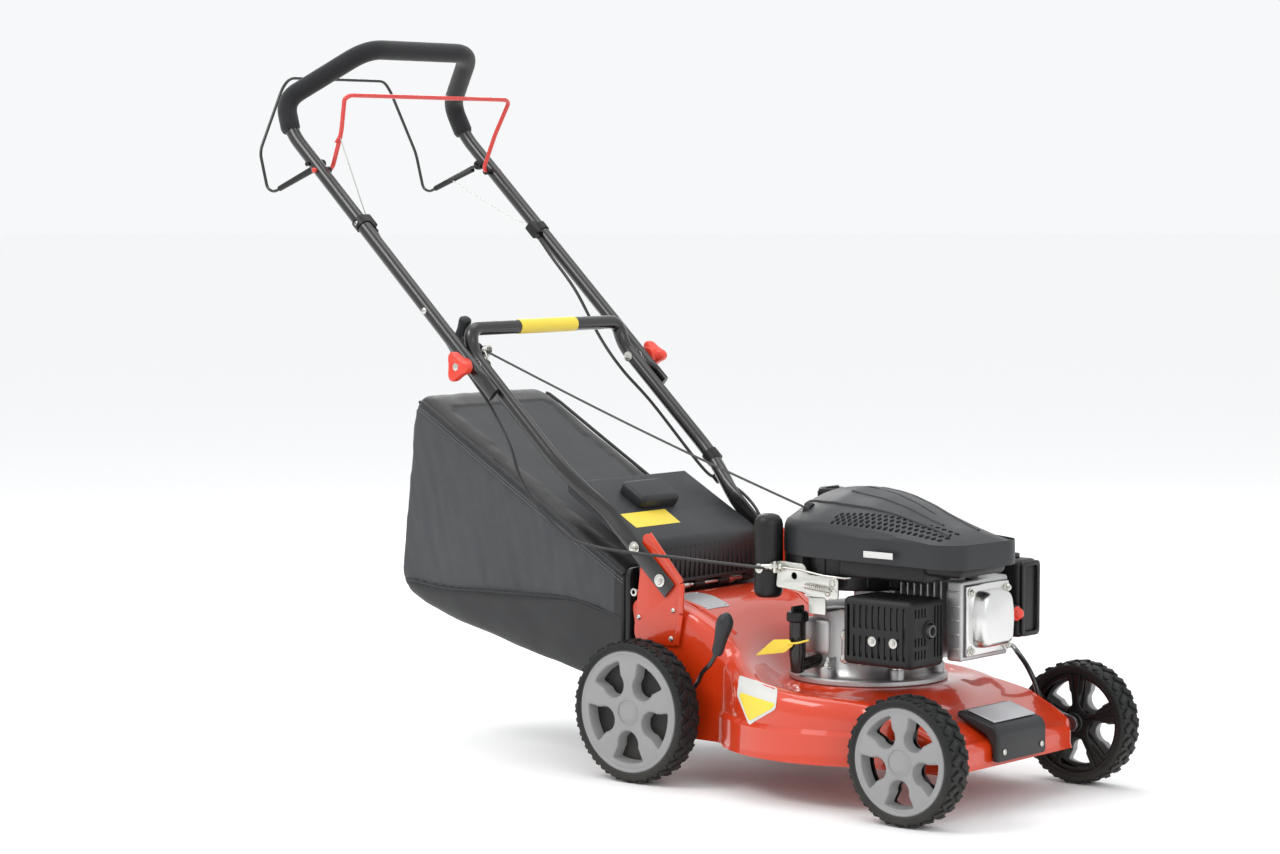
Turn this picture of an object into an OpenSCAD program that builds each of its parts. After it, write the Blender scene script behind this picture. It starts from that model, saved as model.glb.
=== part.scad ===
// Push lawn mower: petrol rotary mower with a rear grass bag and a folding handle.
// Lengths in millimetres. X runs forward from the front axle, Y to the left, Z up from the ground.

/* [Wheels] */
// Diameter of the front wheels
front_wheel_d = 180; // [170:1:190]
// Diameter of the rear wheels
rear_wheel_d = 210; // [200:1:220]
// Distance between the axles
wheelbase = 500; // [490:1:600]
// Width of each wheel
wheel_w = 44; // [40:1:46]
// Centre plane to the outer face of a front wheel
front_face_y = 239; // [236:1:260]
// Centre plane to the outer face of a rear wheel
rear_face_y = 218; // [216:1:240]
// Diameter of the stub axles
stub_d = 12; // [10:0.5:14]

/* [Deck] */
// Radius of the round blade housing
deck_r = 215; // [205:1:218]
// Height of the lower lip above the ground
deck_low = 64; // [60:1:68]
// Height of the engine platform
deck_top = 160; // [156:1:175]
// Thickness of the pressed steel
deck_t = 3; // [2:0.5:4]
// Width of the discharge chute
chute_w = 290; // [270:1:292]
// Length of the nose ahead of the front axle
nose_x = 30; // [20:1:40]

/* [Engine] */
// Distance from the front axle back to the crankshaft
crank_back = 225; // [222:1:232]
// Radius of the engine's mounting flange
flange_r = 115; // [100:1:120]
// Diameter of the crankshaft
crank_d = 25; // [20:0.5:30]
// Height of the shroud's lower edge
shroud_z = 350; // [348:1:360]
// Height of the shroud's highest point
shroud_top = 438; // [434:1:450]
// Bore of the exhaust outlet
outlet_d = 13; // [8:0.5:15]

/* [Blade] */
// Length of the blade
blade_l = 396; // [300:1:398]
// Thickness of the blade
blade_t = 3.5; // [3:0.5:4]

/* [Handle] */
// Angle of the handle above the horizontal
handle_angle = 42.6; // [41:0.1:44]
// Diameter of the handle tubes
tube_d = 22; // [20:0.5:24]
// Centre distance of the upper handle's tubes
upper_w = 400; // [396:1:430]
// Distance from the lower bolt to the folding pivot, along the tube
fold_s = 451; // [445:1:470]
// Straight length of the upper handle above the folding pivot
upper_l = 526; // [500:1:620]
// Diameter of the foam grip
foam_d = 31; // [29:0.5:34]
// Diameter of the engine stop bail's rod
stop_rod_d = 7; // [6:0.5:8]
// Diameter of the drive bail's rod
drive_rod_d = 5; // [4:0.5:6]
// Diameter of the folding bolts
bolt_d = 8; // [6:0.5:9]

/* [Bag] */
// Length of the grass bag from its mouth
bag_l = 475; // [380:1:480]
// Width of the grass bag
bag_w = 300; // [280:1:304]
// Thickness of the bag's wall
bag_t = 3; // [2:0.5:5]

/* [Hidden] */
$fn = 48;
eps = 0.01;

run = 0.05;      // radial clearance of a bearing
gap = 0.5;       // side clearance between moving pieces

red = "orangered";
dark = "dimgray";
black = [0.12, 0.12, 0.12];
grey = [0.55, 0.55, 0.56];
steel = "silver";

front_r = front_wheel_d / 2;
rear_r = rear_wheel_d / 2;
front_in = front_face_y - wheel_w;
rear_in = rear_face_y - wheel_w;

// The handle runs back and up from its lower bolt: s along it, n square to it, towards the front.
bolt_x = -wheelbase + 9;
bolt_z = 293;
function hx(s, n) = bolt_x - s * cos(handle_angle) + n * sin(handle_angle);
function hz(s, n) = bolt_z + s * sin(handle_angle) + n * cos(handle_angle);
function hp(s, n, y) = [hx(s, n), y, hz(s, n)];
upper_y = upper_w / 2;
lower_y = upper_y - tube_d - gap;
foot_y = chute_w / 2 + 6;
grip_s = fold_s + upper_l;
stop_s = grip_s - 88;
drive_s = grip_s - 69;

// The rear wheels swing about the drive shaft, the front wheels about the front pivot rod.
rear_px = -wheelbase + 55;
rear_pz = rear_r + 7;
front_px = -42;
front_pz = front_r + 8;
arm_t = 6;

// The object's box along X, which centres the frame.
front_end = front_r;
rear_end = -hx(grip_s + 133, 0) + drive_rod_d / 2;
shift_x = (rear_end - front_end) / 2;

crank_x = -crank_back;
case_r = 80;
case_top = 265;
fan_z = 296;
cyl_z = 262;
head_x = -48;
fly_z = 314;
chute_rear = -wheelbase - 50;
chute_floor = 155;
chute_top = 258;
hinge_x = chute_rear + 5;
hinge_z = chute_top + 13;
hinge_d = 8;

function unit(v) = v / norm(v);

// A path with its corners rounded: each corner is a curve that starts r before it.
function rounded(pts, r, steps = 5) = concat([pts[0]],
    [for (i = [1 : len(pts) - 2])
        let(p = pts[i], u = pts[i - 1] - p, v = pts[i + 1] - p, t = min(r, 0.48 * norm(u), 0.48 * norm(v)))
        for (k = [0 : steps]) let(f = k / steps)
            (1 - f) * (1 - f) * (p + t * unit(u)) + 2 * f * (1 - f) * p + f * f * (p + t * unit(v))],
    [pts[len(pts) - 1]]);

// The same list on the other side of the centre plane, in reverse order.
function other(pts) = [for (i = [len(pts) - 1 : -1 : 0]) [pts[i][0], -pts[i][1], pts[i][2]]];

// A round bar or cable swept along a list of points.
module sweep(pts, d, sides = 16) {
    n = len(pts);
    t = [for (i = [0 : n - 1]) unit(pts[min(i + 1, n - 1)] - pts[max(i - 1, 0)])];
    first = unit(cross(t[0], abs(t[0][1]) < 0.8 ? [0, 1, 0] : [1, 0, 0]));
    a = [for (i = 0, v = first; i < n; i = i + 1, v = i < n ? unit(v - (v * t[i]) * t[i]) : v) v];
    ring = [for (i = [0 : n - 1], k = [0 : sides - 1])
        pts[i] + d / 2 * (cos(360 * k / sides) * a[i] + sin(360 * k / sides) * cross(t[i], a[i]))];
    polyhedron(ring, concat(
        [[for (k = [0 : sides - 1]) k]],
        [for (i = [0 : n - 2], k = [0 : sides - 1])
            [i * sides + k, (i + 1) * sides + k,
             (i + 1) * sides + (k + 1) % sides, i * sides + (k + 1) % sides]],
        [[for (k = [sides - 1 : -1 : 0]) (n - 1) * sides + k]]));
}

// A straight round bar between two points.
module rod(p, q, d) {
    v = q - p;
    translate(p) rotate([0, acos(v[2] / norm(v)), atan2(v[1], v[0])]) cylinder(h = norm(v), d = d);
}

// A side profile extruded square to the centre plane, from -w/2 to w/2.
module side(pts, w) translate([0, w / 2, 0]) rotate([90, 0, 0]) linear_extrude(w) polygon(pts);

// A cylinder along Y between two places.
module shaft_y(x, z, y0, y1, d) translate([x, y0, z]) rotate([-90, 0, 0]) rotate([0, 0, 90]) cylinder(h = y1 - y0, d = d);

module both() {
    children();
    mirror([0, 1, 0]) children();
}

// ---- deck and what is bolted to it ----

// The round part stays under the slope of the nose; t lowers the slope for the inner face.
module deck_round(r, low, top, t) intersection() {
    translate([crank_x, 0, 0]) rotate_extrude($fn = 96)
        polygon([[0, low], [r, low], [r, low + 42], [r - 8, low + 48], [r - 10, top - 28],
            [r - 26, top - 8], [r - 60, top], [0, top]]);
    side([[-600, low - 1], [-600, top + 60], [slope_x - t / 2, top + 60], [slope_x - t / 2, top],
        [-60 - t / 2, 138 - t], [-t / 2, 112 - t], [60, 52], [60, low - 1]], 600);
}

// The nose between the front wheels: a sloping wedge with its front corners cut back.
nose_w = 352;
slope_x = crank_x + flange_r + 2;
module deck_nose(t, low) intersection() {
    side([[crank_x, low], [nose_x - t, low], [nose_x - t, low + 18 - t], [0, 112 - t],
        [-60, 138 - t], [slope_x, deck_top - t], [crank_x, deck_top - t]], nose_w - 2 * t);
    linear_extrude(300) polygon([[crank_x - 1, -nose_w / 2 + t], [-50, -nose_w / 2 + t],
        [nose_x - 8, -nose_w / 2 + 18 + t], [nose_x - t, -nose_w / 2 + 34 + t],
        [nose_x - t, nose_w / 2 - 34 - t], [nose_x - 8, nose_w / 2 - 18 - t],
        [-50, nose_w / 2 - t], [crank_x - 1, nose_w / 2 - t]]);
}

ramp_x = crank_x - flange_r - 6;
module deck_rear_out() side([[crank_x, deck_low], [-405, deck_low], [chute_rear + 70, deck_low + 8],
    [chute_rear + 70, chute_floor - deck_t], [chute_rear, chute_floor - deck_t],
    [chute_rear, chute_top], [ramp_x - 94, chute_top], [ramp_x - 36, 207], [ramp_x, deck_top], [crank_x, deck_top]],
    chute_w);

module deck_rear_in() {
    side([[crank_x, deck_low - 1], [-403, deck_low - 1], [-403, 130], [-440, chute_floor],
        [chute_rear - 1, chute_floor], [chute_rear - 1, chute_top - deck_t],
        [ramp_x - 95, chute_top - deck_t], [ramp_x - 38.5, 207 - deck_t], [ramp_x - 1.5, deck_top - deck_t],
        [crank_x, deck_top - deck_t]],
        chute_w - 2 * deck_t);
    side([[-406, deck_low - 1], [chute_rear + 69, deck_low - 1],
        [chute_rear + 69, chute_floor - 8], [-442, chute_floor - 8], [-406, 120]],
        chute_w - 2 * deck_t);
}

module deck() color(red) difference() {
    union() {
        deck_round(deck_r, deck_low, deck_top, 0);
        deck_nose(0, deck_low);
        deck_rear_out();
    }
    difference() {
        deck_round(deck_r - deck_t, deck_low - 1, deck_top - deck_t, deck_t);
        translate([-600, -300, deck_low - 2]) cube([600 - 406, 600, 200]);
    }
    deck_nose(deck_t, deck_low - 1);
    deck_rear_in();
    // lower rear corner behind the chute floor's support
    translate([chute_rear - 20, -200, deck_low - 2]) cube([90, 400, chute_floor - deck_t - deck_low + 2 - 1]);
    // crankshaft, front pivot rod and drive shaft
    translate([crank_x, 0, deck_top - 20]) cylinder(h = 40, d = crank_d + 40);
    shaft_y(front_px, front_pz, -250, 250, stub_d + 2 * run);
    shaft_y(rear_px, rear_pz, -250, 250, stub_d + 2 * run);
}

module handle_brackets() color(red) both() difference() {
    translate([0, -chute_w / 2, 0]) rotate([90, 0, 0]) linear_extrude(deck_t)
        polygon([[chute_rear + 22, 358], [chute_rear + 35, 360], [chute_rear + 98, 292], [chute_rear + 96, 246],
            [chute_rear + 87, 197], [chute_rear + 10, 197], [chute_rear + 4, 212], [chute_rear + 18, 320]]);
    shaft_y(hinge_x, hinge_z, -200, 0, hinge_d + 2 * run);
    for (s = [0, 66]) shaft_y(hx(s, 0), hz(s, 0), -200, 0, bolt_d + 2 * run);
}

// A handle to lift the front by: a sloping plate on two legs, with a gap for the fingers.
carry_w = 122;
module carry_handle() color(dark) difference() {
    side([[-28, 128.5], [-28, 136], [36, 120], [43, 112], [43, 70], [nose_x + 0.2, 70],
        [nose_x + 0.2, 84], [1, 113.5]], carry_w);
    side([[-40, 100], [-16, 126.5], [28, 114.5], [35, 107], [60, 104], [60, 60], [0, 60]], carry_w - 28);
}

module flap_rod() color(steel) shaft_y(hinge_x, hinge_z, -chute_w / 2 - 5, chute_w / 2 + 5, hinge_d);

// ---- lower handle ----

function lower_side(y) = [hp(100, 0, -foot_y), hp(125, 0, -foot_y), hp(240, 0, -y), hp(fold_s + 26, 0, -y),
    hp(fold_s + 58, 21, -y + 5)];

module lower_handle() color(black) difference() {
    union() {
        sweep(rounded(concat(lower_side(lower_y), other(lower_side(lower_y))), 30), tube_d);
        both() translate([0, -foot_y + deck_t, 0]) rotate([90, 0, 0]) linear_extrude(6)
            polygon([[hx(-22, -14), hz(-22, -14)], [hx(-22, 14), hz(-22, 14)],
                [hx(100, 14), hz(100, 14)], [hx(118, 8), hz(118, 8)],
                [hx(118, -8), hz(118, -8)], [hx(100, -14), hz(100, -14)]]);
    }
    for (s = [0, 66]) shaft_y(hx(s, 0), hz(s, 0), -300, 300, bolt_d + 2 * run);
    shaft_y(hx(fold_s, 0), hz(fold_s, 0), -300, 300, bolt_d + 2 * run);
}

// Folding bolts, foot bolts, and the wire eye that holds the starter rope at the right bolt.
eye = hp(fold_s + 21, 9, -lower_y + tube_d / 2 + 8.5);
module handle_bolts() color(steel) {
    both() {
        shaft_y(hx(fold_s, 0), hz(fold_s, 0), -upper_y - 34, -lower_y + tube_d / 2, bolt_d);
        shaft_y(hx(fold_s, 0), hz(fold_s, 0), -lower_y + tube_d / 2, -lower_y + tube_d / 2 + 4, 15);
        for (s = [0, 66]) {
            shaft_y(hx(s, 0), hz(s, 0), -foot_y - 9, -foot_y + 10, bolt_d);
            shaft_y(hx(s, 0), hz(s, 0), -foot_y - 8, -foot_y + deck_t - 6, 17);
        }
    }
    translate(eye) rotate([0, 70, 0]) rotate_extrude() translate([8, 0]) circle(d = 3.5);
    rod(eye + [2.7, 0, -7.5], hp(fold_s + 2, -2, -lower_y + tube_d / 2 + 2.2), 3.5);
}

// ---- engine ----

module crankcase() color(grey) difference() {
    union() {
        translate([crank_x, 0, deck_top]) {
            cylinder(h = 9, r = flange_r);
            cylinder(h = case_top - deck_top, r = case_r);
            for (a = [30 : 60 : 330]) rotate([0, 0, a]) translate([flange_r - 14, 0, 0]) cylinder(h = 24, d = 20);
        }
        translate([crank_x, -42, cyl_z - 45]) cube([-crank_x + head_x, 84, fan_z - cyl_z + 45]);
        for (x = [-140, -128, -116, -80, -68]) translate([x, -54, cyl_z - 54]) cube([3, 108, fan_z - cyl_z + 54]);
        translate([head_x, -58, cyl_z - 56]) cube([26, 116, 112]);
    }
    translate([crank_x, 0, deck_top - 1]) cylinder(h = 200, d = crank_d + 2 * run);
}

module valve_cover() color(steel) {
    translate([head_x + 26, -52, cyl_z - 50]) cube([5, 104, 100]);
    hull() {
        translate([head_x + 30, -42, cyl_z - 42]) cube([4, 84, 84]);
        for (y = [-26, 26], z = [-28, 28]) translate([head_x + 40, y, cyl_z + z]) sphere(r = 14, $fn = 24);
    }
}

// Plan outline of the shroud, smaller all round by t.
module shroud_outline(t, z0, z1) {
    translate([crank_x, -8, z0]) cylinder(h = z1 - z0, r = 118 - t);
    translate([-5, -112, z0]) cylinder(h = z1 - z0, r = 32 - t);
    translate([0, -20, z0]) cylinder(h = z1 - z0, r = 34 - t);
}

module shroud_solid(t) hull() {
    shroud_outline(t, shroud_z - (t > 0 ? 1 : 0), 386 - t);
    translate([crank_x - 10, 0, 386]) cylinder(h = shroud_top - 388 - t, r = 84 - t);
    translate([crank_x - 10, 0, 386]) cylinder(h = shroud_top - 386 - t, r = 74 - t);
    translate([-20, -66, 386]) cylinder(h = 10 - t, r = 50 - t);
}

cap_x = crank_x - 91;
cap_y = 34;
cap_z = 404;
module blower_shroud() color(dark) difference() {
    union() {
        difference() {
            shroud_solid(0);
            shroud_solid(3);
        }
        translate([crank_x, 0, 376]) cylinder(h = shroud_top - 376 - 1, d = 16);
    }
    translate([cap_x, cap_y, shroud_z]) cylinder(h = 120, d = 34);
    translate([cap_x, cap_y, cap_z - gap]) cylinder(h = 60, d = 42 + 4 * gap);
    // rope opening and the cooling holes above the muffler
    translate([crank_x - 90, -96, 404]) cube([60, 26, 20]);
    for (i = [0 : 8], j = [0 : 1]) translate([-165 + 15 * i + 6 * j, -92 + 13 * j, 360]) cylinder(h = 80, d = 8);
}

module fan_housing() color(black) translate([crank_x, -8, 0]) difference() {
    union() {
        translate([0, 0, fan_z]) cylinder(h = shroud_z - fan_z, r = 104);
        translate([30, -106, 318]) cube([150, 70, shroud_z - 318]);
    }
    translate([0, 0, 300]) cylinder(h = 100, r = 92);
    translate([33, -103, 321]) cube([144, 64, 40]);
    translate([0, 0, 290]) cylinder(h = 20, r = 60);
    translate([cap_x - crank_x, cap_y + 8, shroud_z - 8]) cylinder(h = 20, d = 29);
    translate([95, -36, 290]) cube([40, 140, 100]);
}

module fuel_tank() color(black) difference() {
    union() {
        translate([crank_x, -8, 0]) difference() {
            translate([0, 0, 292]) cylinder(h = shroud_z - 292, r = 117);
            translate([0, 0, 280]) cylinder(h = 90, r = 104.2);
            translate([-40, -200, 280]) cube([300, 400, 90]);
            translate([-200, -200, 280]) cube([300, 130, 90]);
        }
        translate([cap_x, cap_y, shroud_z - 6]) cylinder(h = cap_z - shroud_z + 6, d = 28);
    }
    translate([cap_x, cap_y, cap_z - 26]) cylinder(h = 30, d = 18);
}

module fuel_cap() color(black) difference() {
    translate([cap_x, cap_y, cap_z + gap]) cylinder(h = 30, d = 42);
    translate([cap_x, cap_y, cap_z - 1]) cylinder(h = 8, d = 38);
}

muf = [-165, -146, 200];
muf_s = [120, 82, fan_z - muf[2]];
outlet_z = 252;
outlet_y = -104;
module muffler() color(grey) difference() {
    union() {
        translate(muf + [8, 10, 8]) cube([muf_s[0] - 18, muf_s[1] - 20, muf_s[2] - 16]);
        translate([-98, -76, cyl_z]) rotate([-90, 0, 0]) cylinder(h = 34, d = 16);
        translate([-60, outlet_y, outlet_z]) rotate([0, 90, 0]) cylinder(h = 22, d = outlet_d + 5);
    }
    translate([-75, outlet_y, outlet_z]) rotate([0, 90, 0]) cylinder(h = 40, d = outlet_d);
}

module muffler_guard() color(black) difference() {
    translate(muf) cube(muf_s);
    translate(muf + [2, 2, 2]) cube([muf_s[0] - 4, muf_s[1], muf_s[2] - 4]);
    for (i = [0 : 8]) translate(muf + [10 + 12 * i, -1, 10]) cube([5, 4, i > 2 && i < 7 ? 30 : 74]);
    for (i = [3 : 6]) translate(muf + [10 + 12 * i, -1, 58]) cube([5, 4, 30]);
    for (i = [0 : 3]) translate(muf + [12 + 26 * i, 14, 90]) cube([14, 50, 20]);
    for (j = [0 : 2]) translate(muf + [110, 10 + 8 * j, 12]) cube([20, 4, 74]);
    translate([-60, outlet_y, outlet_z]) rotate([0, 90, 0]) cylinder(h = 30, d = outlet_d + 12);
}

module air_filter() color(black) {
    translate([-104, 84, 224]) cube([84, 50, 112]);
    translate([-110, 96, 220]) cube([10, 42, 120]);
    for (i = [0 : 5]) translate([-20, 90, 232 + 18 * i]) cube([4, 40, 8]);
}

module carburettor() color(steel) {
    translate([-100, 54, cyl_z - 14]) cube([34, 30, 34]);
    translate([-38, 58, cyl_z - 12]) cube([26, 22, 24]);
    color("red") translate([-12, 69, cyl_z]) rotate([0, 90, 0]) cylinder(h = 8, d1 = 18, d2 = 12);
    translate([-66, 60, cyl_z - 6]) cube([28, 12, 12]);
}

module spark_plug() color(black) {
    translate([head_x + 26, 0, cyl_z]) rotate([0, 0, 0]) translate([-10, -20, 56]) cylinder(h = 14, d = 14);
    translate([head_x + 16, -20, cyl_z + 70]) sphere(d = 20);
    rod([head_x + 16, -20, cyl_z + 70], [-66, -32, 343], 7);
}

fill = [-272, -108, deck_top];
module oil_filler() color("darkred") difference() {
    union() {
        translate(fill + [0, 0, 12]) cylinder(h = 74, d = 24);
        rod(fill + [4, 8, 30], [crank_x - 30, -66, fill[2] + 30], 18);
    }
    translate(fill + [0, 0, 60]) cylinder(h = 40, d = 18);
    translate([crank_x, 0, deck_top]) cylinder(h = 200, r = case_r);
    translate([crank_x, 0, deck_top - 1]) cylinder(h = 10 + eps, r = flange_r);
    for (a = [30 : 60 : 330]) translate([crank_x, 0, 0]) rotate([0, 0, a])
        translate([flange_r - 14, 0, deck_top - 1]) cylinder(h = 25 + eps, d = 20);
}

module oil_cap() color(black) {
    translate(fill + [0, 0, 86 + gap]) cylinder(h = 18, d = 32);
    translate(fill + [0, 0, 64]) cylinder(h = 23, d = 18 - 2 * gap);
    translate(fill + [-2, -13, 104]) cube([4, 26, 6]);
}

canister = [-322, -112];
module evap_canister() color(black) {
    translate([canister[0], canister[1], 278]) cylinder(h = 114, d = 42);
    translate([canister[0], canister[1], 392]) cylinder(h = 8, d1 = 42, d2 = 30);
}

module brake_bracket() color(steel) {
    translate([-301, -122, 284]) cube([111, 3, 50]);
    translate([-242, -119, case_top]) cube([30, 76.5, 3]);
    translate([-242, -122, 262]) cube([30, 3, 24]);
    translate([-296, -134, 318]) cube([4, 12, 16]);
    rod([-292, -128, 326], [-180, -128, 318], 3);
}

module gearbox() color(grey) difference() {
    union() {
        shaft_y(rear_px, rear_pz, 30, 100, 52);
        translate([rear_px - 24, 40, rear_pz - 4]) cube([30, 50, 34]);
    }
    shaft_y(rear_px, rear_pz, -200, 200, stub_d + 2 * run);
    translate([-409, 0, 60]) cube([60, 200, 120]);
}

// ---- crankshaft and blade ----

blade_z = deck_low + 12;
module crankshaft() color(steel) union() {
    translate([crank_x, 0, blade_z + blade_t]) cylinder(h = fly_z + 40 - blade_z - blade_t, d = crank_d);
    translate([crank_x, 0, blade_z + blade_t]) cylinder(h = 16, d = 50);
}

module flywheel() color(grey) translate([crank_x, 0, fly_z]) difference() {
    union() {
        cylinder(h = 18, r = 82);
        for (a = [0 : 24 : 336]) rotate([0, 0, a]) translate([46, -2, 16]) cube([32, 4, 14]);
    }
    translate([0, 0, -1]) cylinder(h = 40, d = crank_d);
}

module blade() color(grey) translate([crank_x, 0, blade_z]) difference() {
    union() {
        translate([-blade_l / 2, -26, 0]) cube([blade_l, 52, blade_t]);
        for (m = [0, 180]) rotate([0, 0, m]) translate([blade_l / 2 - 70, 14, 0])
            rotate([28, 0, 0]) cube([62, 16, blade_t]);
    }
    for (m = [0, 180]) rotate([0, 0, m]) translate([blade_l / 2 - 1, -30, -1]) rotate([0, 0, 12])
        translate([0, -10, 0]) cube([30, 90, 20]);
    translate([0, 0, -1]) cylinder(h = 20, d = 10);
}

module blade_bolt() color(steel) {
    translate([crank_x, 0, blade_z - 8]) cylinder(h = 8, d = 17, $fn = 6);
    translate([crank_x, 0, blade_z - eps]) cylinder(h = blade_t + eps, d = 10);
}

// ---- flap and bag ----

flap_w = 276;
module rear_flap() color(dark) difference() {
    union() {
        side([[hinge_x - 139, 426], [hinge_x - 139, 419], [hinge_x - 17, 350], [hinge_x, 332], [hinge_x + 4, hinge_z + 6],
            [hinge_x + 8, hinge_z + 6], [hinge_x + 12, 330], [hinge_x + 5, 344], [hinge_x - 11, 355]], flap_w);
        for (i = [0 : 4]) translate([hinge_x, -120 + 60 * i - 12, hinge_z]) rotate([-90, 0, 0])
            cylinder(h = 24, d = 13);
        for (i = [0 : 4]) translate([hinge_x, -120 + 60 * i - 12, hinge_z]) cube([9, 24, 20]);
        both() translate([0, -flap_w / 2 + 3, 0]) rotate([90, 0, 0]) linear_extrude(3)
            polygon([[hinge_x - 139, 425], [hinge_x - 139, 412], [hinge_x - 55, 360], [hinge_x - 3, 330],
                [hinge_x + 5, 290], [hinge_x + 9, 290], [hinge_x + 12, 330], [hinge_x - 11, 355]]);
        // finger bump
        translate([hinge_x - 95, -62, 388]) rotate([0, 30, 0]) cube([46, 88, 16]);
    }
    shaft_y(hinge_x, hinge_z, -200, 200, hinge_d + 2 * run);
}

mouth_x = chute_rear - 2;
bag_rear = mouth_x - bag_l;
frame_t = 9;
module bag_frame() color(black) difference() {
    side([[mouth_x, 146], [mouth_x, 306], [mouth_x - frame_t, 306], [mouth_x - frame_t, 146]], bag_w);
    side([[mouth_x + 1, chute_floor + 3], [mouth_x + 1, 252], [mouth_x - 30, 252],
        [mouth_x - 30, chute_floor + 3]], bag_w - 24);
}

module bag_solid(t) {
    m = mouth_x - frame_t + (t > 0 ? 1 : 0);
    side([[m, 152 + t], [m, 304 - t * 1.2], [bag_rear + 48, 548 - t * 1.4], [bag_rear + 34, 545 - t],
        [bag_rear + t, 242 + t], [bag_rear + 12, 228 + t], [bag_rear + 122, 190 + t],
        [m - 94, 134 + t], [m - 46, 130 + t]], bag_w - 2 * t);
}
module bag_shell() color(dark) difference() {
    bag_solid(0);
    bag_solid(bag_t);
}

// ---- upper handle and what rides on it ----

top_s = grip_s + 24;
grip_n = 156;
function upper_side() = [hp(fold_s - 62, 0, -upper_y), hp(grip_s, 0, -upper_y), hp(grip_s + 51, 23, -upper_y + 7),
    hp(top_s, grip_n, -118)];
function grip_side() = [hp(grip_s + 2, 1, -upper_y), hp(grip_s + 51, 23, -upper_y + 7), hp(top_s, grip_n, -118)];

module upper_tube() sweep(rounded(concat(upper_side(), other(upper_side())), 34), tube_d);
module upper_handle() color(black) difference() {
    upper_tube();
    shaft_y(hx(fold_s, 0), hz(fold_s, 0), -300, 300, bolt_d + 2 * run);
    shaft_y(hx(stop_s, 0), hz(stop_s, 0), -300, 300, stop_rod_d + 2 * run);
    shaft_y(hx(drive_s, -4), hz(drive_s, -4), -300, 300, drive_rod_d + 2 * run);
}

module foam_grip() color(dark) difference() {
    sweep(rounded(concat(grip_side(), other(grip_side())), 34), foam_d);
    upper_tube();
}

// Small blocks on the inner side of the tubes that hold the ends of the two outer cables.
stop_block_s = fold_s + 316;
drive_block_s = fold_s + 296;
module cable_stops() color(black) difference() {
    union() {
        translate(hp(stop_block_s, 0, -upper_y + tube_d / 2 + 5)) rotate([0, handle_angle, 0])
            cube([26, 12, 18], center = true);
        translate(hp(drive_block_s, 0, upper_y - tube_d / 2 - 5)) rotate([0, handle_angle, 0])
            cube([26, 12, 18], center = true);
    }
    rod(hp(fold_s, 0, -upper_y), hp(grip_s, 0, -upper_y), tube_d);
    rod(hp(fold_s, 0, upper_y), hp(grip_s, 0, upper_y), tube_d);
}

module knob() difference() {
    union() {
        translate([0, -upper_y - tube_d / 2 - gap, 0]) rotate([90, 0, 0]) {
            cylinder(h = 26, d = 26);
            for (a = [90, 210, 330]) rotate([0, 0, a]) translate([15, 0, 9]) cylinder(h = 16, d = 19);
        }
    }
    shaft_y(0, 0, -upper_y - 35, 0, bolt_d + 2 * run);
}
module knob_right() color(red) translate([hx(fold_s, 0), 0, hz(fold_s, 0)]) knob();
module knob_left() color(red) translate([hx(fold_s, 0), 0, hz(fold_s, 0)]) mirror([0, 1, 0]) knob();

function stop_side() = [hp(stop_s, 0, -upper_y - 14), hp(stop_s, 0, -upper_y + 25), hp(stop_s + 22, 60, -upper_y + 22),
    hp(stop_s + 43, 112, -upper_y + 10), hp(stop_s + 44, 118, -upper_y + 20)];
module stop_bail() color("red") sweep(rounded(concat(stop_side(), other(stop_side())), 12, 4), stop_rod_d, 12);

function drive_side() = [hp(drive_s, -4, -upper_y - 13), hp(drive_s, -4, -upper_y + 24),
    hp(drive_s + 51, -111, -upper_y + 20), hp(drive_s + 66, -117, -upper_y + 20),
    hp(drive_s + 118, -85, -upper_y + 20), hp(drive_s + 192, -12, -124), hp(drive_s + 202, 0, -108)];
module drive_bail() color(black)
    sweep(rounded(concat(drive_side(), other(drive_side())), 12, 4), drive_rod_d, 12);

module starter_grip() color(dark) {
    rod(grip_c - 35 * grip_v, grip_c + 35 * grip_v, 21);
    rod(grip_c, grip_c - 46 * pull_v, 13);
}
pull_v = [-0.94, 0, 0.341];
grip_v = [0.341, 0, 0.94];
grip_c = eye - [52.6, 0, -19];

pulley_z = 380;
module starter_pulley() color(black) translate([crank_x, 0, pulley_z]) difference() {
    union() {
        cylinder(h = 3, r = 34);
        cylinder(h = 12, r = 30);
        translate([0, 0, 9]) cylinder(h = 3, r = 34);
    }
    translate([0, 0, -1]) cylinder(h = 20, d = 16 + 2 * run);
}

// ---- wheels ----

module wheel_at(front, left) {
    x = front ? 0 : -wheelbase;
    z = front ? front_r : rear_r;
    f = front ? front_face_y : rear_face_y;
    translate([x, 0, z]) mirror([0, left ? 1 : 0, 0]) translate([0, -f, 0]) rotate([-90, 0, 0]) children();
}
// Wheel pieces stand on their outer face, with the wheel's width along +Z.
module tyre_p(r) color(dark) rotate_extrude($fn = 72)
    polygon([[r - 13, 3], [r - 5, 0], [r, 5], [r, wheel_w - 5], [r - 5, wheel_w], [r - 13, wheel_w - 3]]);
module rim_p(r, closed) color(black) difference() {
    union() {
        rotate_extrude($fn = 72) polygon([[r - 17, 6], [r - 13, 6], [r - 13, wheel_w - 5], [r - 17, wheel_w - 5]]);
        translate([0, 0, 8]) cylinder(h = wheel_w - 10, d = stub_d + 18);
        for (a = [18 : 72 : 306]) rotate([0, 0, a]) translate([stub_d / 2 + 4, -4, 9])
            cube([r - 19.5 - stub_d / 2, 8, closed ? 11 : 25]);
        if (closed) translate([0, 0, 16]) cylinder(h = 3, r = r - 14);
    }
    translate([0, 0, -1]) cylinder(h = wheel_w + 2, d = stub_d + 2 * run);
}
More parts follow.
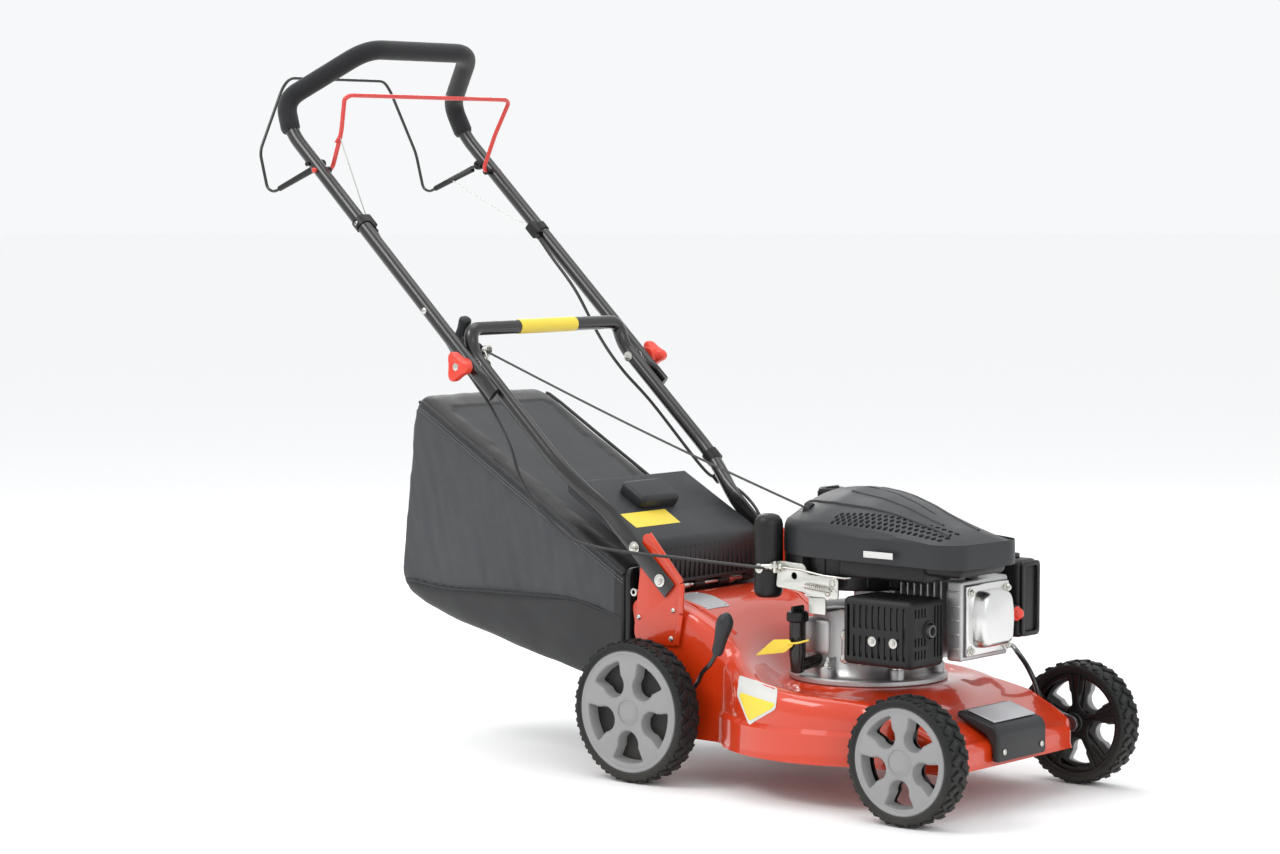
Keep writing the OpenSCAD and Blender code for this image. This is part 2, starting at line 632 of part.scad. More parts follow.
module cover_p(r) color(grey) difference() {
    rotate_extrude($fn = 72) polygon([[0, 0], [r - 22, 0], [r - 15, 3.5], [r - 15, 6], [0, 6]]);
    for (a = [54 : 72 : 342]) rotate([0, 0, a]) translate([r * 0.54, 0, -1]) cylinder(h = 9, r = r * 0.17);
}

module tyre_fr() wheel_at(true, false) tyre_p(front_r);
module rim_fr() wheel_at(true, false) rim_p(front_r, false);
module cover_fr() wheel_at(true, false) cover_p(front_r);
module tyre_fl() wheel_at(true, true) tyre_p(front_r);
module rim_fl() wheel_at(true, true) rim_p(front_r, false);
module cover_fl() wheel_at(true, true) cover_p(front_r);
module tyre_rr() wheel_at(false, false) tyre_p(rear_r);
module rim_rr() wheel_at(false, false) rim_p(rear_r, true);
module cover_rr() wheel_at(false, false) cover_p(rear_r);
module tyre_rl() wheel_at(false, true) tyre_p(rear_r);
module rim_rl() wheel_at(false, true) rim_p(rear_r, true);
module cover_rl() wheel_at(false, true) cover_p(rear_r);

// A flat arm from a pivot to a stub axle, in the plane y to y + arm_t, with a hole for a shaft if d > 0.
function arm_end(x, z, a) = [for (k = [0 : 12]) [x + 12 * cos(a + 15 * k), z + 12 * sin(a + 15 * k)]];
module arm(x0, z0, x1, z1, y, d) difference() {
    translate([0, y + arm_t, 0]) rotate([90, 0, 0]) linear_extrude(arm_t) polygon(concat(
        arm_end(x0, z0, atan2(z1 - z0, x1 - x0) + 90), arm_end(x1, z1, atan2(z1 - z0, x1 - x0) - 90)));
    if (d > 0) shaft_y(x0, z0, y - 1, y + arm_t + 1, d);
}

front_arm_y = front_in - arm_t - 1;
module front_axle() color(grey) union() {
    shaft_y(front_px, front_pz, -front_arm_y - 3, front_arm_y + 3, stub_d);
    both() {
        arm(front_px, front_pz, 0, front_r, -front_arm_y - arm_t, 0);
        shaft_y(0, front_r, -front_face_y + 9, -front_arm_y - 3, stub_d);
    }
}

// Each lever is a bent rod with a grip, on a boss against the wheel arm of its side.
module front_lever() color(black) difference() {
    union() {
        shaft_y(front_px, front_pz, front_arm_y - 6, front_arm_y, 26);
        sweep(rounded([[front_px - 3, front_arm_y - 4, front_pz + 6], [-54, front_arm_y - 4, 140], [-72, front_arm_y - 4, 170],
            [-96, front_arm_y + 4, 188], [-124, front_arm_y + 36, 190], [-152, front_arm_y + 38, 190]], 14), 8, 12);
        rod([-148, front_arm_y + 38, 190], [-192, front_arm_y + 38, 194], 18);
    }
    shaft_y(front_px, front_pz, front_arm_y - 10, front_arm_y + 10, stub_d);
}

rear_arm_y = rear_in - arm_t - 3;
module rear_axle() color(grey) union() {
    shaft_y(-wheelbase, rear_r, -rear_face_y + 9, rear_face_y - 9, stub_d);
    both() arm(rear_px, rear_pz, -wheelbase, rear_r, -rear_arm_y - arm_t, stub_d + 2 * run);
}

module rear_lever() color(dark) difference() {
    union() {
        shaft_y(rear_px, rear_pz, -rear_arm_y, -rear_arm_y + 6, 28);
        sweep(rounded([[rear_px + 5, -rear_arm_y + 3.6, rear_pz + 8], [-412, -rear_arm_y + 2, 150], [-385, -185, 172],
            [-361, -196, 186], [-348, -196, 208]], 14), 7, 12);
        rod([-350, -196, 203], [-334, -196, 252], 20);
        translate([-334, -196, 252]) sphere(d = 25);
    }
    shaft_y(rear_px, rear_pz, -rear_arm_y - 10, -rear_arm_y + 10, stub_d + 2 * run);
}

module drive_shaft() color(steel) {
    shaft_y(rear_px, rear_pz, -rear_in - 8, rear_in + 8, stub_d);
    both() shaft_y(rear_px, rear_pz, -rear_in - 12, -rear_in - 1, 18);
}

// ---- cables and rope, made whole along their routes ----

module brake_wire() color(grey) sweep([hp(stop_s + 13.5, 51.4, -upper_y + 21), hp(stop_block_s + 40, 12, -upper_y + 20),
    hp(stop_block_s + 14.5, 2, -upper_y + 19)], 2, 8);

module brake_cable() color(black) sweep([hp(stop_block_s - 13.5, 0, -181), hp(stop_block_s - 60, -6, -181),
    hp(fold_s + 160, -8, -180), hp(fold_s + 70, -26, -178), hp(fold_s, -30, -176), hp(fold_s - 60, -32, -180),
    [-752, -192, 480], [-734, -196, 445], [-712, -198, 415], [-684, -198, 387], [-655, -196, 364],
    [-625, -192, 347], [-580, -186, 338], [-511, -176, 333], [-450, -166, 331], [-400, -156, 328],
    [-350, -143, 325], [-318, -139, 324], [-297, -128, 326]], 5, 8);

module drive_wire() color(grey) sweep([hp(drive_s + 23.9, -60.2, upper_y - 22), hp(drive_block_s + 60, -22, upper_y - 20),
    hp(drive_block_s + 14.5, -2, upper_y - 19)], 2, 8);

module drive_cable() color(black) sweep([hp(drive_block_s - 13.5, 0, 181), hp(drive_block_s - 60, -4, 181),
    hp(fold_s + 160, -8, 180), hp(fold_s + 70, -26, 178), hp(fold_s, -30, 176), hp(fold_s - 80, -28, 180),
    [-690, 186, 430], [-660, 190, 410], [-620, 192, 396], [-580, 182, 374], [-550, 172, 345],
    [-520, 166, 310], [-480, 163, 270], [-440, 160, 240], [-400, 158, 215], [-375, 158, 190]], 5, 8);

module starter_rope() color(grey) sweep([grip_c - 46.5 * pull_v, eye, eye + [30, 2, -12], [-700, -148, 574],
    [-550, -128, 517], [-400, -108, 461], [-300, -94, 423], [-282, -88, 413]], 3, 8);

module put() translate([shift_x, 0, 0]) children();

put() deck();
put() handle_brackets();
put() carry_handle();
put() flap_rod();
put() lower_handle();
put() handle_bolts();
put() crankcase();
put() valve_cover();
put() blower_shroud();
put() fan_housing();
put() fuel_tank();
put() muffler();
put() muffler_guard();
put() air_filter();
put() carburettor();
put() spark_plug();
put() oil_filler();
put() oil_cap();
put() evap_canister();
put() brake_bracket();
put() gearbox();
put() brake_cable();
put() drive_cable();
put() starter_rope();
put() rear_flap();
put() bag_shell();
put() bag_frame();
put() upper_handle();
put() foam_grip();
put() cable_stops();
put() knob_right();
put() knob_left();
put() stop_bail();
put() drive_bail();
put() brake_wire();
put() drive_wire();
put() starter_grip();
put() starter_pulley();
put() crankshaft();
put() flywheel();
put() blade();
put() blade_bolt();
put() tyre_fr();
put() rim_fr();
put() cover_fr();
put() tyre_fl();
put() rim_fl();
put() cover_fl();
put() tyre_rr();
put() rim_rr();
put() cover_rr();
put() tyre_rl();
put() rim_rl();
put() cover_rl();
put() front_axle();
put() front_lever();
put() rear_axle();
put() rear_lever();
put() drive_shaft();
put() fuel_cap();
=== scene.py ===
"""Push lawn mower: the finished look of every piece, built around the packed frame."""

import math

import bpy
from bpy.props import FloatProperty, FloatVectorProperty, IntProperty, PointerProperty
from mathutils import Matrix, Vector, noise
from mathutils.bvhtree import BVHTree


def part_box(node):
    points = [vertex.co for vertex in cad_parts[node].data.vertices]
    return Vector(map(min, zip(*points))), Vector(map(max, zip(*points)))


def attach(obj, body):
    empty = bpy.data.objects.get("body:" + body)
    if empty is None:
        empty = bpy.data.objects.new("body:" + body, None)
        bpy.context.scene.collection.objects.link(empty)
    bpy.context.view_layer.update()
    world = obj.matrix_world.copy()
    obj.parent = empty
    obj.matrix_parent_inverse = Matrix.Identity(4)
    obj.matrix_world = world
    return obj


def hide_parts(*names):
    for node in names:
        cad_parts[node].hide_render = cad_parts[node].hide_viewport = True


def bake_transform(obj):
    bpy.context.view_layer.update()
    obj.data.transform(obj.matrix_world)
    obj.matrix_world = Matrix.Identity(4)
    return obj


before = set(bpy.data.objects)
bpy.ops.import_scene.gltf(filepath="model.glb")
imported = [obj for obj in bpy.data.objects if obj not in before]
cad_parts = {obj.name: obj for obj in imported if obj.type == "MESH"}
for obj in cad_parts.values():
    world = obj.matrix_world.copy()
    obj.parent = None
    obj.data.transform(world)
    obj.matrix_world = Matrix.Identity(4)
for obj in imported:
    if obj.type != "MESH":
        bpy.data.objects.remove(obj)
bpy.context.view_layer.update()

bl_info = {
    "name": "Push Lawn Mower",
    "version": (1, 0, 0),
    "blender": (4, 5, 0),
    "location": "View3D > Sidebar > Mower",
    "description": "Builds a petrol lawn mower with a grass bag and a folding handle",
    "category": "Add Mesh",
}

MM = 0.001

# ---------------------------------------------------------------- places
# Lengths are millimetres from the front axle, the centre plane and the ground.

FRONT_LO, FRONT_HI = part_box("tyre_fr")
REAR_LO, REAR_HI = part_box("tyre_rr")
AXLE_X = (FRONT_LO[0] + FRONT_HI[0]) / 2
FRONT_R = (FRONT_HI[2] - FRONT_LO[2]) / 2 / MM
REAR_R = round((REAR_HI[2] - REAR_LO[2]) / 2 / MM)
WHEEL_W = (FRONT_HI[1] - FRONT_LO[1]) / MM
FRONT_FACE = -FRONT_LO[1] / MM
REAR_FACE = -REAR_LO[1] / MM
WHEELBASE = round((AXLE_X - (REAR_LO[0] + REAR_HI[0]) / 2) / MM)
CRANK_X = -225.0
DECK_R = 215.0
CHUTE_W = 290.0
HINGE = (-545.0, 271.0)
CYL_Z = 262.0
HEAD_X = -48.0
HANDLE_ANGLE = math.radians(42.6)
FOLD_S, GRIP_S = 451.0, 977.0
UPPER_Y, LOWER_Y, FOOT_Y = 200.0, 177.5, 151.0
TUBE_R = 11.0


def at(x, y, z):
    """A point in the frame's metres."""
    return Vector((AXLE_X + x * MM, y * MM, z * MM))


def hp(s, n, y):
    """A point s along the handle from its lower bolt and n square to it, in millimetres."""
    c, d = math.cos(HANDLE_ANGLE), math.sin(HANDLE_ANGLE)
    return (-WHEELBASE + 9 - s * c + n * d, y, 293 + s * d + n * c)


def ramp(x, table):
    """Straight-line interpolation through a list of (x, value) pairs."""
    if x <= table[0][0]:
        return table[0][1]
    for (a, u), (b, v) in zip(table, table[1:]):
        if x <= b:
            return u + (v - u) * (x - a) / (b - a)
    return table[-1][1]


def soft_ramp(x, table, reach=15.0):
    """The same line with its corners rounded off."""
    return sum(ramp(x + reach * k / 3, table) for k in range(-3, 4)) / 7


def size(key):
    """A size from the panel, in millimetres."""
    return getattr(bpy.context.scene.mower_sizes, key) / MM


def smooth(t):
    t = max(0.0, min(1.0, t))
    return t * t * (3 - 2 * t)


# ---------------------------------------------------------------- modelling tools


def deselect():
    if bpy.context.object and bpy.context.object.mode != "OBJECT":
        bpy.ops.object.mode_set(mode="OBJECT")
    bpy.ops.object.select_all(action="DESELECT")


def pick(*objs):
    deselect()
    for obj in objs:
        obj.select_set(True)
    bpy.context.view_layer.objects.active = objs[0]


def settle(obj):
    """Moves the object's place, turn and scale into its mesh."""
    pick(obj)
    bpy.ops.object.transform_apply(location=True, rotation=True, scale=True)
    return obj


def modify(obj, kind, **values):
    """Adds a modifier, sets it and applies it."""
    pick(obj)
    step = obj.modifiers.new(kind.lower(), kind)
    for key, value in values.items():
        setattr(step, key, value)
    bpy.ops.object.modifier_apply(modifier=step.name)
    return obj


def tidy(obj, merge=0.00002):
    """Merges doubled points and turns every face outwards."""
    pick(obj)
    bpy.ops.object.mode_set(mode="EDIT")
    bpy.ops.mesh.select_all(action="SELECT")
    bpy.ops.mesh.remove_doubles(threshold=merge)
    bpy.ops.mesh.normals_make_consistent(inside=False)
    bpy.ops.object.mode_set(mode="OBJECT")
    return obj


def face_up(obj):
    """Turns a mesh the right way out if its highest face points down."""
    if max(obj.data.polygons, key=lambda face: face.center.z).normal.z < 0:
        pick(obj)
        bpy.ops.object.mode_set(mode="EDIT")
        bpy.ops.mesh.select_all(action="SELECT")
        bpy.ops.mesh.flip_normals()
        bpy.ops.object.mode_set(mode="OBJECT")


def cut(obj, *cutters):
    """Takes the cutters' shapes out of the object."""
    for cutter in cutters:
        modify(obj, "BOOLEAN", operation="DIFFERENCE", solver="EXACT", object=cutter)
        bpy.data.objects.remove(cutter, do_unlink=True)
    return obj


def block(lo, hi, bevel=1.0, segments=3):
    """A box between two corners, with rounded edges."""
    deselect()
    lo, hi = at(*lo), at(*hi)
    bpy.ops.mesh.primitive_cube_add(size=1, location=(lo + hi) / 2)
    obj = bpy.context.object
    obj.scale = hi - lo
    settle(obj)
    if bevel:
        modify(obj, "BEVEL", width=bevel * MM, segments=segments)
    return obj


def rod(p, q, r, bevel=0.0, sides=32):
    """A straight round bar between two points."""
    deselect()
    p, q = at(*p), at(*q)
    bpy.ops.mesh.primitive_cylinder_add(vertices=sides, radius=r * MM, depth=(q - p).length,
        location=(p + q) / 2, rotation=(q - p).to_track_quat("Z", "Y").to_euler())
    obj = settle(bpy.context.object)
    if bevel:
        modify(obj, "BEVEL", width=bevel * MM, segments=2, limit_method="ANGLE")
    return obj


def ball(p, r, squash=(1, 1, 1)):
    deselect()
    bpy.ops.mesh.primitive_uv_sphere_add(segments=32, ring_count=16, radius=r * MM, location=at(*p))
    bpy.context.object.scale = squash
    return settle(bpy.context.object)


def line(points, closed=False, flat=False):
    """A poly curve through points given in metres."""
    deselect()
    bpy.ops.curve.primitive_nurbs_path_add()
    obj = bpy.context.object
    obj.data.splines.clear()
    obj.data.dimensions = "2D" if flat else "3D"
    loops = points if closed and isinstance(points[0], list) else [points]
    for loop in loops:
        spline = obj.data.splines.new("POLY")
        spline.points.add(len(loop) - 1)
        for knot, p in zip(spline.points, loop):
            knot.co = (p[0], p[1], p[2] if len(p) > 2 else 0.0, 1.0)
        spline.use_cyclic_u = closed
    obj.location = (0, 0, 0)
    return obj


def to_mesh(obj):
    pick(obj)
    bpy.ops.object.convert(target="MESH")
    return bpy.context.object


def bend(points, r, steps=6):
    """Rounds the corners of a path, in millimetres."""
    points = [Vector(p) for p in points]
    out = [points[0]]
    for before, p, after in zip(points, points[1:], points[2:]):
        u, v = before - p, after - p
        t = min(r, 0.48 * u.length, 0.48 * v.length)
        for k in range(steps + 1):
            f = k / steps
            out.append((1 - f) ** 2 * (p + t * u.normalized()) + 2 * f * (1 - f) * p
                       + f * f * (p + t * v.normalized()))
    return out + [points[-1]]


def flow(points, steps=6):
    """A smooth curve through every point of a path, in millimetres."""
    pts = [Vector(p) for p in points]
    pts = [2 * pts[0] - pts[1]] + pts + [2 * pts[-1] - pts[-2]]
    out = []
    for a, b, c, d in zip(pts, pts[1:], pts[2:], pts[3:]):
        for k in range(steps):
            t = k / steps
            out.append(0.5 * (2 * b + (c - a) * t + (2 * a - 5 * b + 4 * c - d) * t * t
                              + (3 * b - a - 3 * c + d) * t ** 3))
    return out + [pts[-2]]


def tube(points, r, round_steps=4, sizes=None):
    """A round tube along a path; sizes scale the radius point by point."""
    obj = line([at(*p) for p in points])
    obj.data.bevel_depth = r * MM
    obj.data.bevel_resolution = round_steps
    obj.data.use_fill_caps = True
    if sizes:
        for knot, size in zip(obj.data.splines[0].points, sizes):
            knot.radius = size
    return tidy(to_mesh(obj), 0.000005)


def lathe(profile, centre, axis=(0, 0, 1), steps=64):
    """A turned shape: profile is (radius, height) pairs along the axis, in millimetres."""
    obj = to_mesh(line([(r * MM, 0, h * MM) for r, h in profile]))
    modify(obj, "SCREW", steps=steps, render_steps=steps, axis="Z", use_merge_vertices=True,
           merge_threshold=0.000002)
    turn = Vector(axis).to_track_quat("Z", "Y").to_matrix().to_4x4()
    obj.matrix_world = Matrix.Translation(at(*centre)) @ turn
    settle(obj)
    return tidy(obj, 0.000002)


SIDE = Matrix(((1, 0, 0, 0), (0, 0, -1, 0), (0, 1, 0, 0), (0, 0, 0, 1)))  # drawn on X and Z
FRONT = Matrix(((0, 0, 1, 0), (1, 0, 0, 0), (0, 1, 0, 0), (0, 0, 0, 1)))  # drawn on Y and Z


def plate(loops, thick, plane, place, bevel=0.6):
    """A flat plate cut to outlines; the first is the edge and the others are holes."""
    obj = line([[(u * MM, v * MM) for u, v in loop] for loop in loops], closed=True, flat=True)
    obj.data.fill_mode = "BOTH"
    obj.data.extrude = (thick / 2 - bevel) * MM
    obj.data.bevel_depth = bevel * MM
    obj.data.bevel_resolution = 2
    obj.data.offset = -bevel * MM
    obj = to_mesh(obj)
    obj.matrix_world = Matrix.Translation(at(*place)) @ plane
    settle(obj)
    return tidy(obj)


def arc_poly(points, r, steps=6):
    """A closed outline with rounded corners."""
    n = len(points)
    out = []
    for i in range(n):
        a, p, b = (Vector(points[(i + k) % n]) for k in (-1, 0, 1))
        u, v = a - p, b - p
        t = min(r, 0.45 * u.length, 0.45 * v.length)
        for k in range(steps + 1):
            f = k / steps
            q = (1 - f) ** 2 * (p + t * u.normalized()) + 2 * f * (1 - f) * p + f * f * (p + t * v.normalized())
            out.append((q.x, q.y))
    return out


def circle_loop(x, y, r, steps=24):
    return [(x + r * math.cos(2 * math.pi * k / steps), y + r * math.sin(2 * math.pi * k / steps))
            for k in range(steps)]


def loft(rings, closed_ring=True, caps=(False, False)):
    """A skin over rings of points in millimetres, shaped from a grid primitive."""
    n, m = len(rings), len(rings[0])
    deselect()
    bpy.ops.mesh.primitive_grid_add(x_subdivisions=m if closed_ring else m - 1, y_subdivisions=n - 1, size=1)
    obj = bpy.context.object
    width = (m if closed_ring else m - 1) + 1
    for i, loop in enumerate(rings):
        for j in range(width):
            obj.data.vertices[i * width + j].co = at(*loop[j % m])
    obj.location = (0, 0, 0)
    tidy(obj, 0.000002)
    if any(caps):
        pick(obj)
        bpy.ops.object.mode_set(mode="EDIT")
        bpy.ops.mesh.select_all(action="DESELECT")
        bpy.ops.mesh.select_mode(type="EDGE")
        bpy.ops.mesh.select_non_manifold(extend=False)
        bpy.ops.mesh.fill_holes(sides=0)
        bpy.ops.mesh.select_all(action="SELECT")
        bpy.ops.mesh.normals_make_consistent(inside=False)
        bpy.ops.object.mode_set(mode="OBJECT")
    return obj


def copy_of(obj, matrix=None):
    """A copy with its own mesh, moved by a matrix in the frame's metres."""
    twin = obj.copy()
    twin.data = obj.data.copy()
    bpy.context.collection.objects.link(twin)
    if matrix is not None:
        twin.matrix_world = matrix @ twin.matrix_world
        settle(twin)
        if matrix.determinant() < 0:
            tidy(twin, 0.000001)
    return twin


MIRROR_Y = Matrix.Scale(-1, 4, (0, 1, 0))


def pair(obj):
    """The piece and its mirror image on the other side."""
    return [obj, copy_of(obj, MIRROR_Y)]


def paint(obj, mat, angle=35):
    obj.data.materials.clear()
    obj.data.materials.append(mat)
    pick(obj)
    bpy.ops.object.shade_smooth_by_angle(angle=math.radians(angle))
    return obj


def gather(name, parts):
    """Joins painted parts into one named piece."""
    pick(*parts)
    if len(parts) > 1:
        bpy.ops.object.join()
    obj = bpy.context.object
    obj.name = obj.data.name = name
    return obj


def place(name, parts, body, slot, *nodes):
    """One finished piece on its body, in place of the frame's nodes."""
    obj = gather(name, parts)
    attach(obj, body)
    if nodes:
        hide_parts(*nodes)
    return obj


def hex_bolt(p, axis, r=6.0, height=5.0, washer=8.5):
    """A flanged hexagon head standing on a surface."""
    axis = Vector(axis).normalized()
    top = Vector(p) + axis * height
    head = rod(p, top, r, 0.0, 6)
    modify(head, "BEVEL", width=0.7 * MM, segments=2, limit_method="ANGLE")
    face = lathe([(0, 0), (washer, 0), (washer, 1.2), (r * 0.9, 1.9), (0, 1.9)], p, axis, 32)
    end = lathe([(0, 0), (r * 0.55, 0), (r * 0.55, 1.6), (r * 0.4, 2.0), (0, 2.0)], top, axis, 20)
    return [head, face, end]


def dome_screw(p, axis, r=4.5):
    """A domed head with a cross recess."""
    head = lathe([(0, 0), (r, 0), (r, 0.8), (r * 0.85, 1.8), (r * 0.5, 2.6), (0, 2.9)], p, axis, 28)
    out = Vector(axis).normalized()
    mid = Vector(p) + out * 2.6
    for turn in (0, math.pi / 2):
        side = Matrix.Rotation(turn, 3, out) @ out.orthogonal().normalized() * r * 0.55
        cut(head, rod(mid - side, mid + side, 0.55, 0, 6))
    return head


# ---------------------------------------------------------------- finishes


def new_group(name, inputs, outputs):
    group = bpy.data.node_groups.new(name, "ShaderNodeTree")
    for label, value in inputs:
        group.interface.new_socket(name=label, in_out="INPUT", socket_type="NodeSocketFloat").default_value = value
    for label in outputs:
        group.interface.new_socket(name=label, in_out="OUTPUT", socket_type="NodeSocketFloat")
    return group, group.nodes.new("NodeGroupInput"), group.nodes.new("NodeGroupOutput")


def math_node(group, what, a, b=None):
    node = group.nodes.new("ShaderNodeMath")
    node.operation = what
    for socket, value in zip(node.inputs, (a, b)):
        if value is None:
            continue
        if isinstance(value, (int, float)):
            socket.default_value = value
        else:
            group.links.new(value, socket)
    return node.outputs[0]


def noise_node(group, coords, scale, detail=2.0, rough=0.5):
    node = group.nodes.new("ShaderNodeTexNoise")
    node.inputs["Detail"].default_value = detail
    node.inputs["Roughness"].default_value = rough
    if isinstance(scale, (int, float)):
        node.inputs["Scale"].default_value = scale
    else:
        group.links.new(scale, node.inputs["Scale"])
    group.links.new(coords, node.inputs["Vector"])
    return node.outputs["Fac"]


def grain_group():
    """Fine moulded or cast grain, with a slow mottle under it."""
    group, given, out = new_group("Surface Grain", [("Grain Scale", 900.0), ("Mottle Scale", 14.0)],
                                  ["Height", "Mottle", "Speckle"])
    place_ = group.nodes.new("ShaderNodeTexCoord").outputs["Object"]
    fine = noise_node(group, place_, given.outputs["Grain Scale"], 3.0, 0.6)
    cell = group.nodes.new("ShaderNodeTexVoronoi")
    group.links.new(place_, cell.inputs["Vector"])
    group.links.new(given.outputs["Grain Scale"], cell.inputs["Scale"])
    slow = noise_node(group, place_, given.outputs["Mottle Scale"], 4.0, 0.55)
    group.links.new(math_node(group, "ADD", math_node(group, "MULTIPLY", fine, 0.6),
                              math_node(group, "MULTIPLY", cell.outputs["Distance"], 0.4)), out.inputs["Height"])
    group.links.new(slow, out.inputs["Mottle"])
    group.links.new(math_node(group, "GREATER_THAN", fine, 0.62), out.inputs["Speckle"])
    return group


def scuff_group():
    """Thin rub marks and settled dust, dust lying lower down."""
    group, given, out = new_group("Rub Marks and Dust", [("Mark Scale", 60.0), ("Dust Height", 0.12)],
                                  ["Marks", "Dust"])
    place_ = group.nodes.new("ShaderNodeTexCoord").outputs["Object"]
    stretch = group.nodes.new("ShaderNodeMapping")
    stretch.inputs["Scale"].default_value = (1.0, 1.0, 0.06)
    stretch.inputs["Rotation"].default_value = (0.6, 0.9, 0.3)
    group.links.new(place_, stretch.inputs["Vector"])
    streak = noise_node(group, stretch.outputs[0], given.outputs["Mark Scale"], 5.0, 0.7)
    marks = math_node(group, "MULTIPLY", math_node(group, "SUBTRACT", streak, 0.62), 6.0)
    keep = group.nodes.new("ShaderNodeClamp")
    group.links.new(marks, keep.inputs["Value"])
    group.links.new(keep.outputs[0], out.inputs["Marks"])
    axes = group.nodes.new("ShaderNodeSeparateXYZ")
    group.links.new(place_, axes.inputs[0])
    low = math_node(group, "SUBTRACT", 1.0, math_node(group, "DIVIDE", axes.outputs["Z"], given.outputs["Dust Height"]))
    patch = noise_node(group, place_, 38.0, 5.0, 0.65)
    dust = group.nodes.new("ShaderNodeClamp")
    group.links.new(math_node(group, "MULTIPLY", low, patch), dust.inputs["Value"])
    group.links.new(dust.outputs[0], out.inputs["Dust"])
    return group


def weave_group():
    """Crossing threads with small gaps between them."""
    group, given, out = new_group("Woven Threads", [("Threads", 520.0), ("Crossings", 520.0)],
                                  ["Height", "Gap Shade", "Fleck"])
    uv = group.nodes.new("ShaderNodeTexCoord").outputs["UV"]
    axes = group.nodes.new("ShaderNodeSeparateXYZ")
    group.links.new(uv, axes.inputs[0])
    u = math_node(group, "SINE", math_node(group, "MULTIPLY", axes.outputs["X"], given.outputs["Threads"]))
    v = math_node(group, "SINE", math_node(group, "MULTIPLY", axes.outputs["Y"], given.outputs["Crossings"]))
    high = math_node(group, "MAXIMUM", math_node(group, "ABSOLUTE", u), math_node(group, "ABSOLUTE", v))
    group.links.new(high, out.inputs["Height"])
    # mask of the low gaps between threads, where near-black painted shade is laid
    group.links.new(math_node(group, "LESS_THAN", high, 0.55), out.inputs["Gap Shade"])
    stretch = group.nodes.new("ShaderNodeMapping")
    stretch.inputs["Scale"].default_value = (90.0, 9.0, 1.0)
    group.links.new(uv, stretch.inputs["Vector"])
    group.links.new(noise_node(group, stretch.outputs[0], 5.0, 5.0, 0.75), out.inputs["Fleck"])
    return group


GROUPS = {}


def group_node(mat, key, **values):
    if key not in GROUPS:
        GROUPS[key] = {"grain": grain_group, "scuff": scuff_group, "weave": weave_group}[key]()
    node = mat.node_tree.nodes.new("ShaderNodeGroup")
    node.node_tree = GROUPS[key]
    for label, value in values.items():
        node.inputs[label.replace("_", " ")].default_value = value
    return node


def blend_colour(mat, factor, a, b, amount=1.0):
    """Mixes two colours by a mask; each may be a colour or a socket."""
    tree = mat.node_tree
    node = tree.nodes.new("ShaderNodeMix")
    node.data_type = "RGBA"
    tree.links.new(math_node(tree, "MULTIPLY", factor, amount), node.inputs["Factor"])
    for socket, value in ((node.inputs["A"], a), (node.inputs["B"], b)):
        if isinstance(value, tuple):
            socket.default_value = (*value, 1.0)
        else:
            tree.links.new(value, socket)
    return node.outputs["Result"]


def finish(name, colour, rough, metal=0.0, coat=0.0, coat_rough=0.06, grain=900.0, bump=0.15, depth=0.00025,
           mottle=0.12, mottle_scale=14.0, marks=0.12, mark_colour=None, dust=0.12, dust_height=0.12, rough_swing=0.1,
           sheen=0.0, specular=0.5):
    """A solid finish with grain, mottle, rub marks and a little dust."""
    mat = bpy.data.materials.new(name)
    mat.use_nodes = True
    tree = mat.node_tree
    shader = tree.nodes["Principled BSDF"]
    grit = group_node(mat, "grain", Grain_Scale=grain, Mottle_Scale=mottle_scale)
    worn = group_node(mat, "scuff", Dust_Height=dust_height)
    dark = tuple(c * 0.78 for c in colour)
    light = tuple(min(1.0, c * 1.22 + 0.004) for c in colour)
    base = blend_colour(mat, grit.outputs["Mottle"], dark, light, 1.0) if mottle >= 0.3 else \
        blend_colour(mat, grit.outputs["Mottle"], tuple(c * (1 - mottle) for c in colour),
                     tuple(min(1.0, c * (1 + mottle)) for c in colour))
    pale = mark_colour or tuple(min(1.0, c * 1.5 + 0.03) for c in colour)
    base = blend_colour(mat, worn.outputs["Marks"], base, pale, marks)
    base = blend_colour(mat, worn.outputs["Dust"], base, (0.34, 0.30, 0.22), dust)
    tree.links.new(base, shader.inputs["Base Color"])
    swing = math_node(tree, "MULTIPLY", math_node(tree, "SUBTRACT", grit.outputs["Mottle"], 0.5), rough_swing * 2)
    rub = math_node(tree, "MULTIPLY", worn.outputs["Marks"], 0.12)
    sum_ = math_node(tree, "ADD", math_node(tree, "ADD", rough, swing), rub)
    keep = tree.nodes.new("ShaderNodeClamp")
    keep.inputs["Min"].default_value, keep.inputs["Max"].default_value = 0.04, 1.0
    tree.links.new(sum_, keep.inputs["Value"])
    tree.links.new(keep.outputs[0], shader.inputs["Roughness"])
    shader.inputs["Metallic"].default_value = metal
    shader.inputs["Coat Weight"].default_value = coat
    shader.inputs["Coat Roughness"].default_value = coat_rough
    shader.inputs["Sheen Weight"].default_value = sheen
    shader.inputs["Specular IOR Level"].default_value = specular
    if bump:
        lift = tree.nodes.new("ShaderNodeBump")
        lift.inputs["Strength"].default_value = bump
        lift.inputs["Distance"].default_value = depth
        tree.links.new(grit.outputs["Height"], lift.inputs["Height"])
        tree.links.new(lift.outputs["Normal"], shader.inputs["Normal"])
    return mat


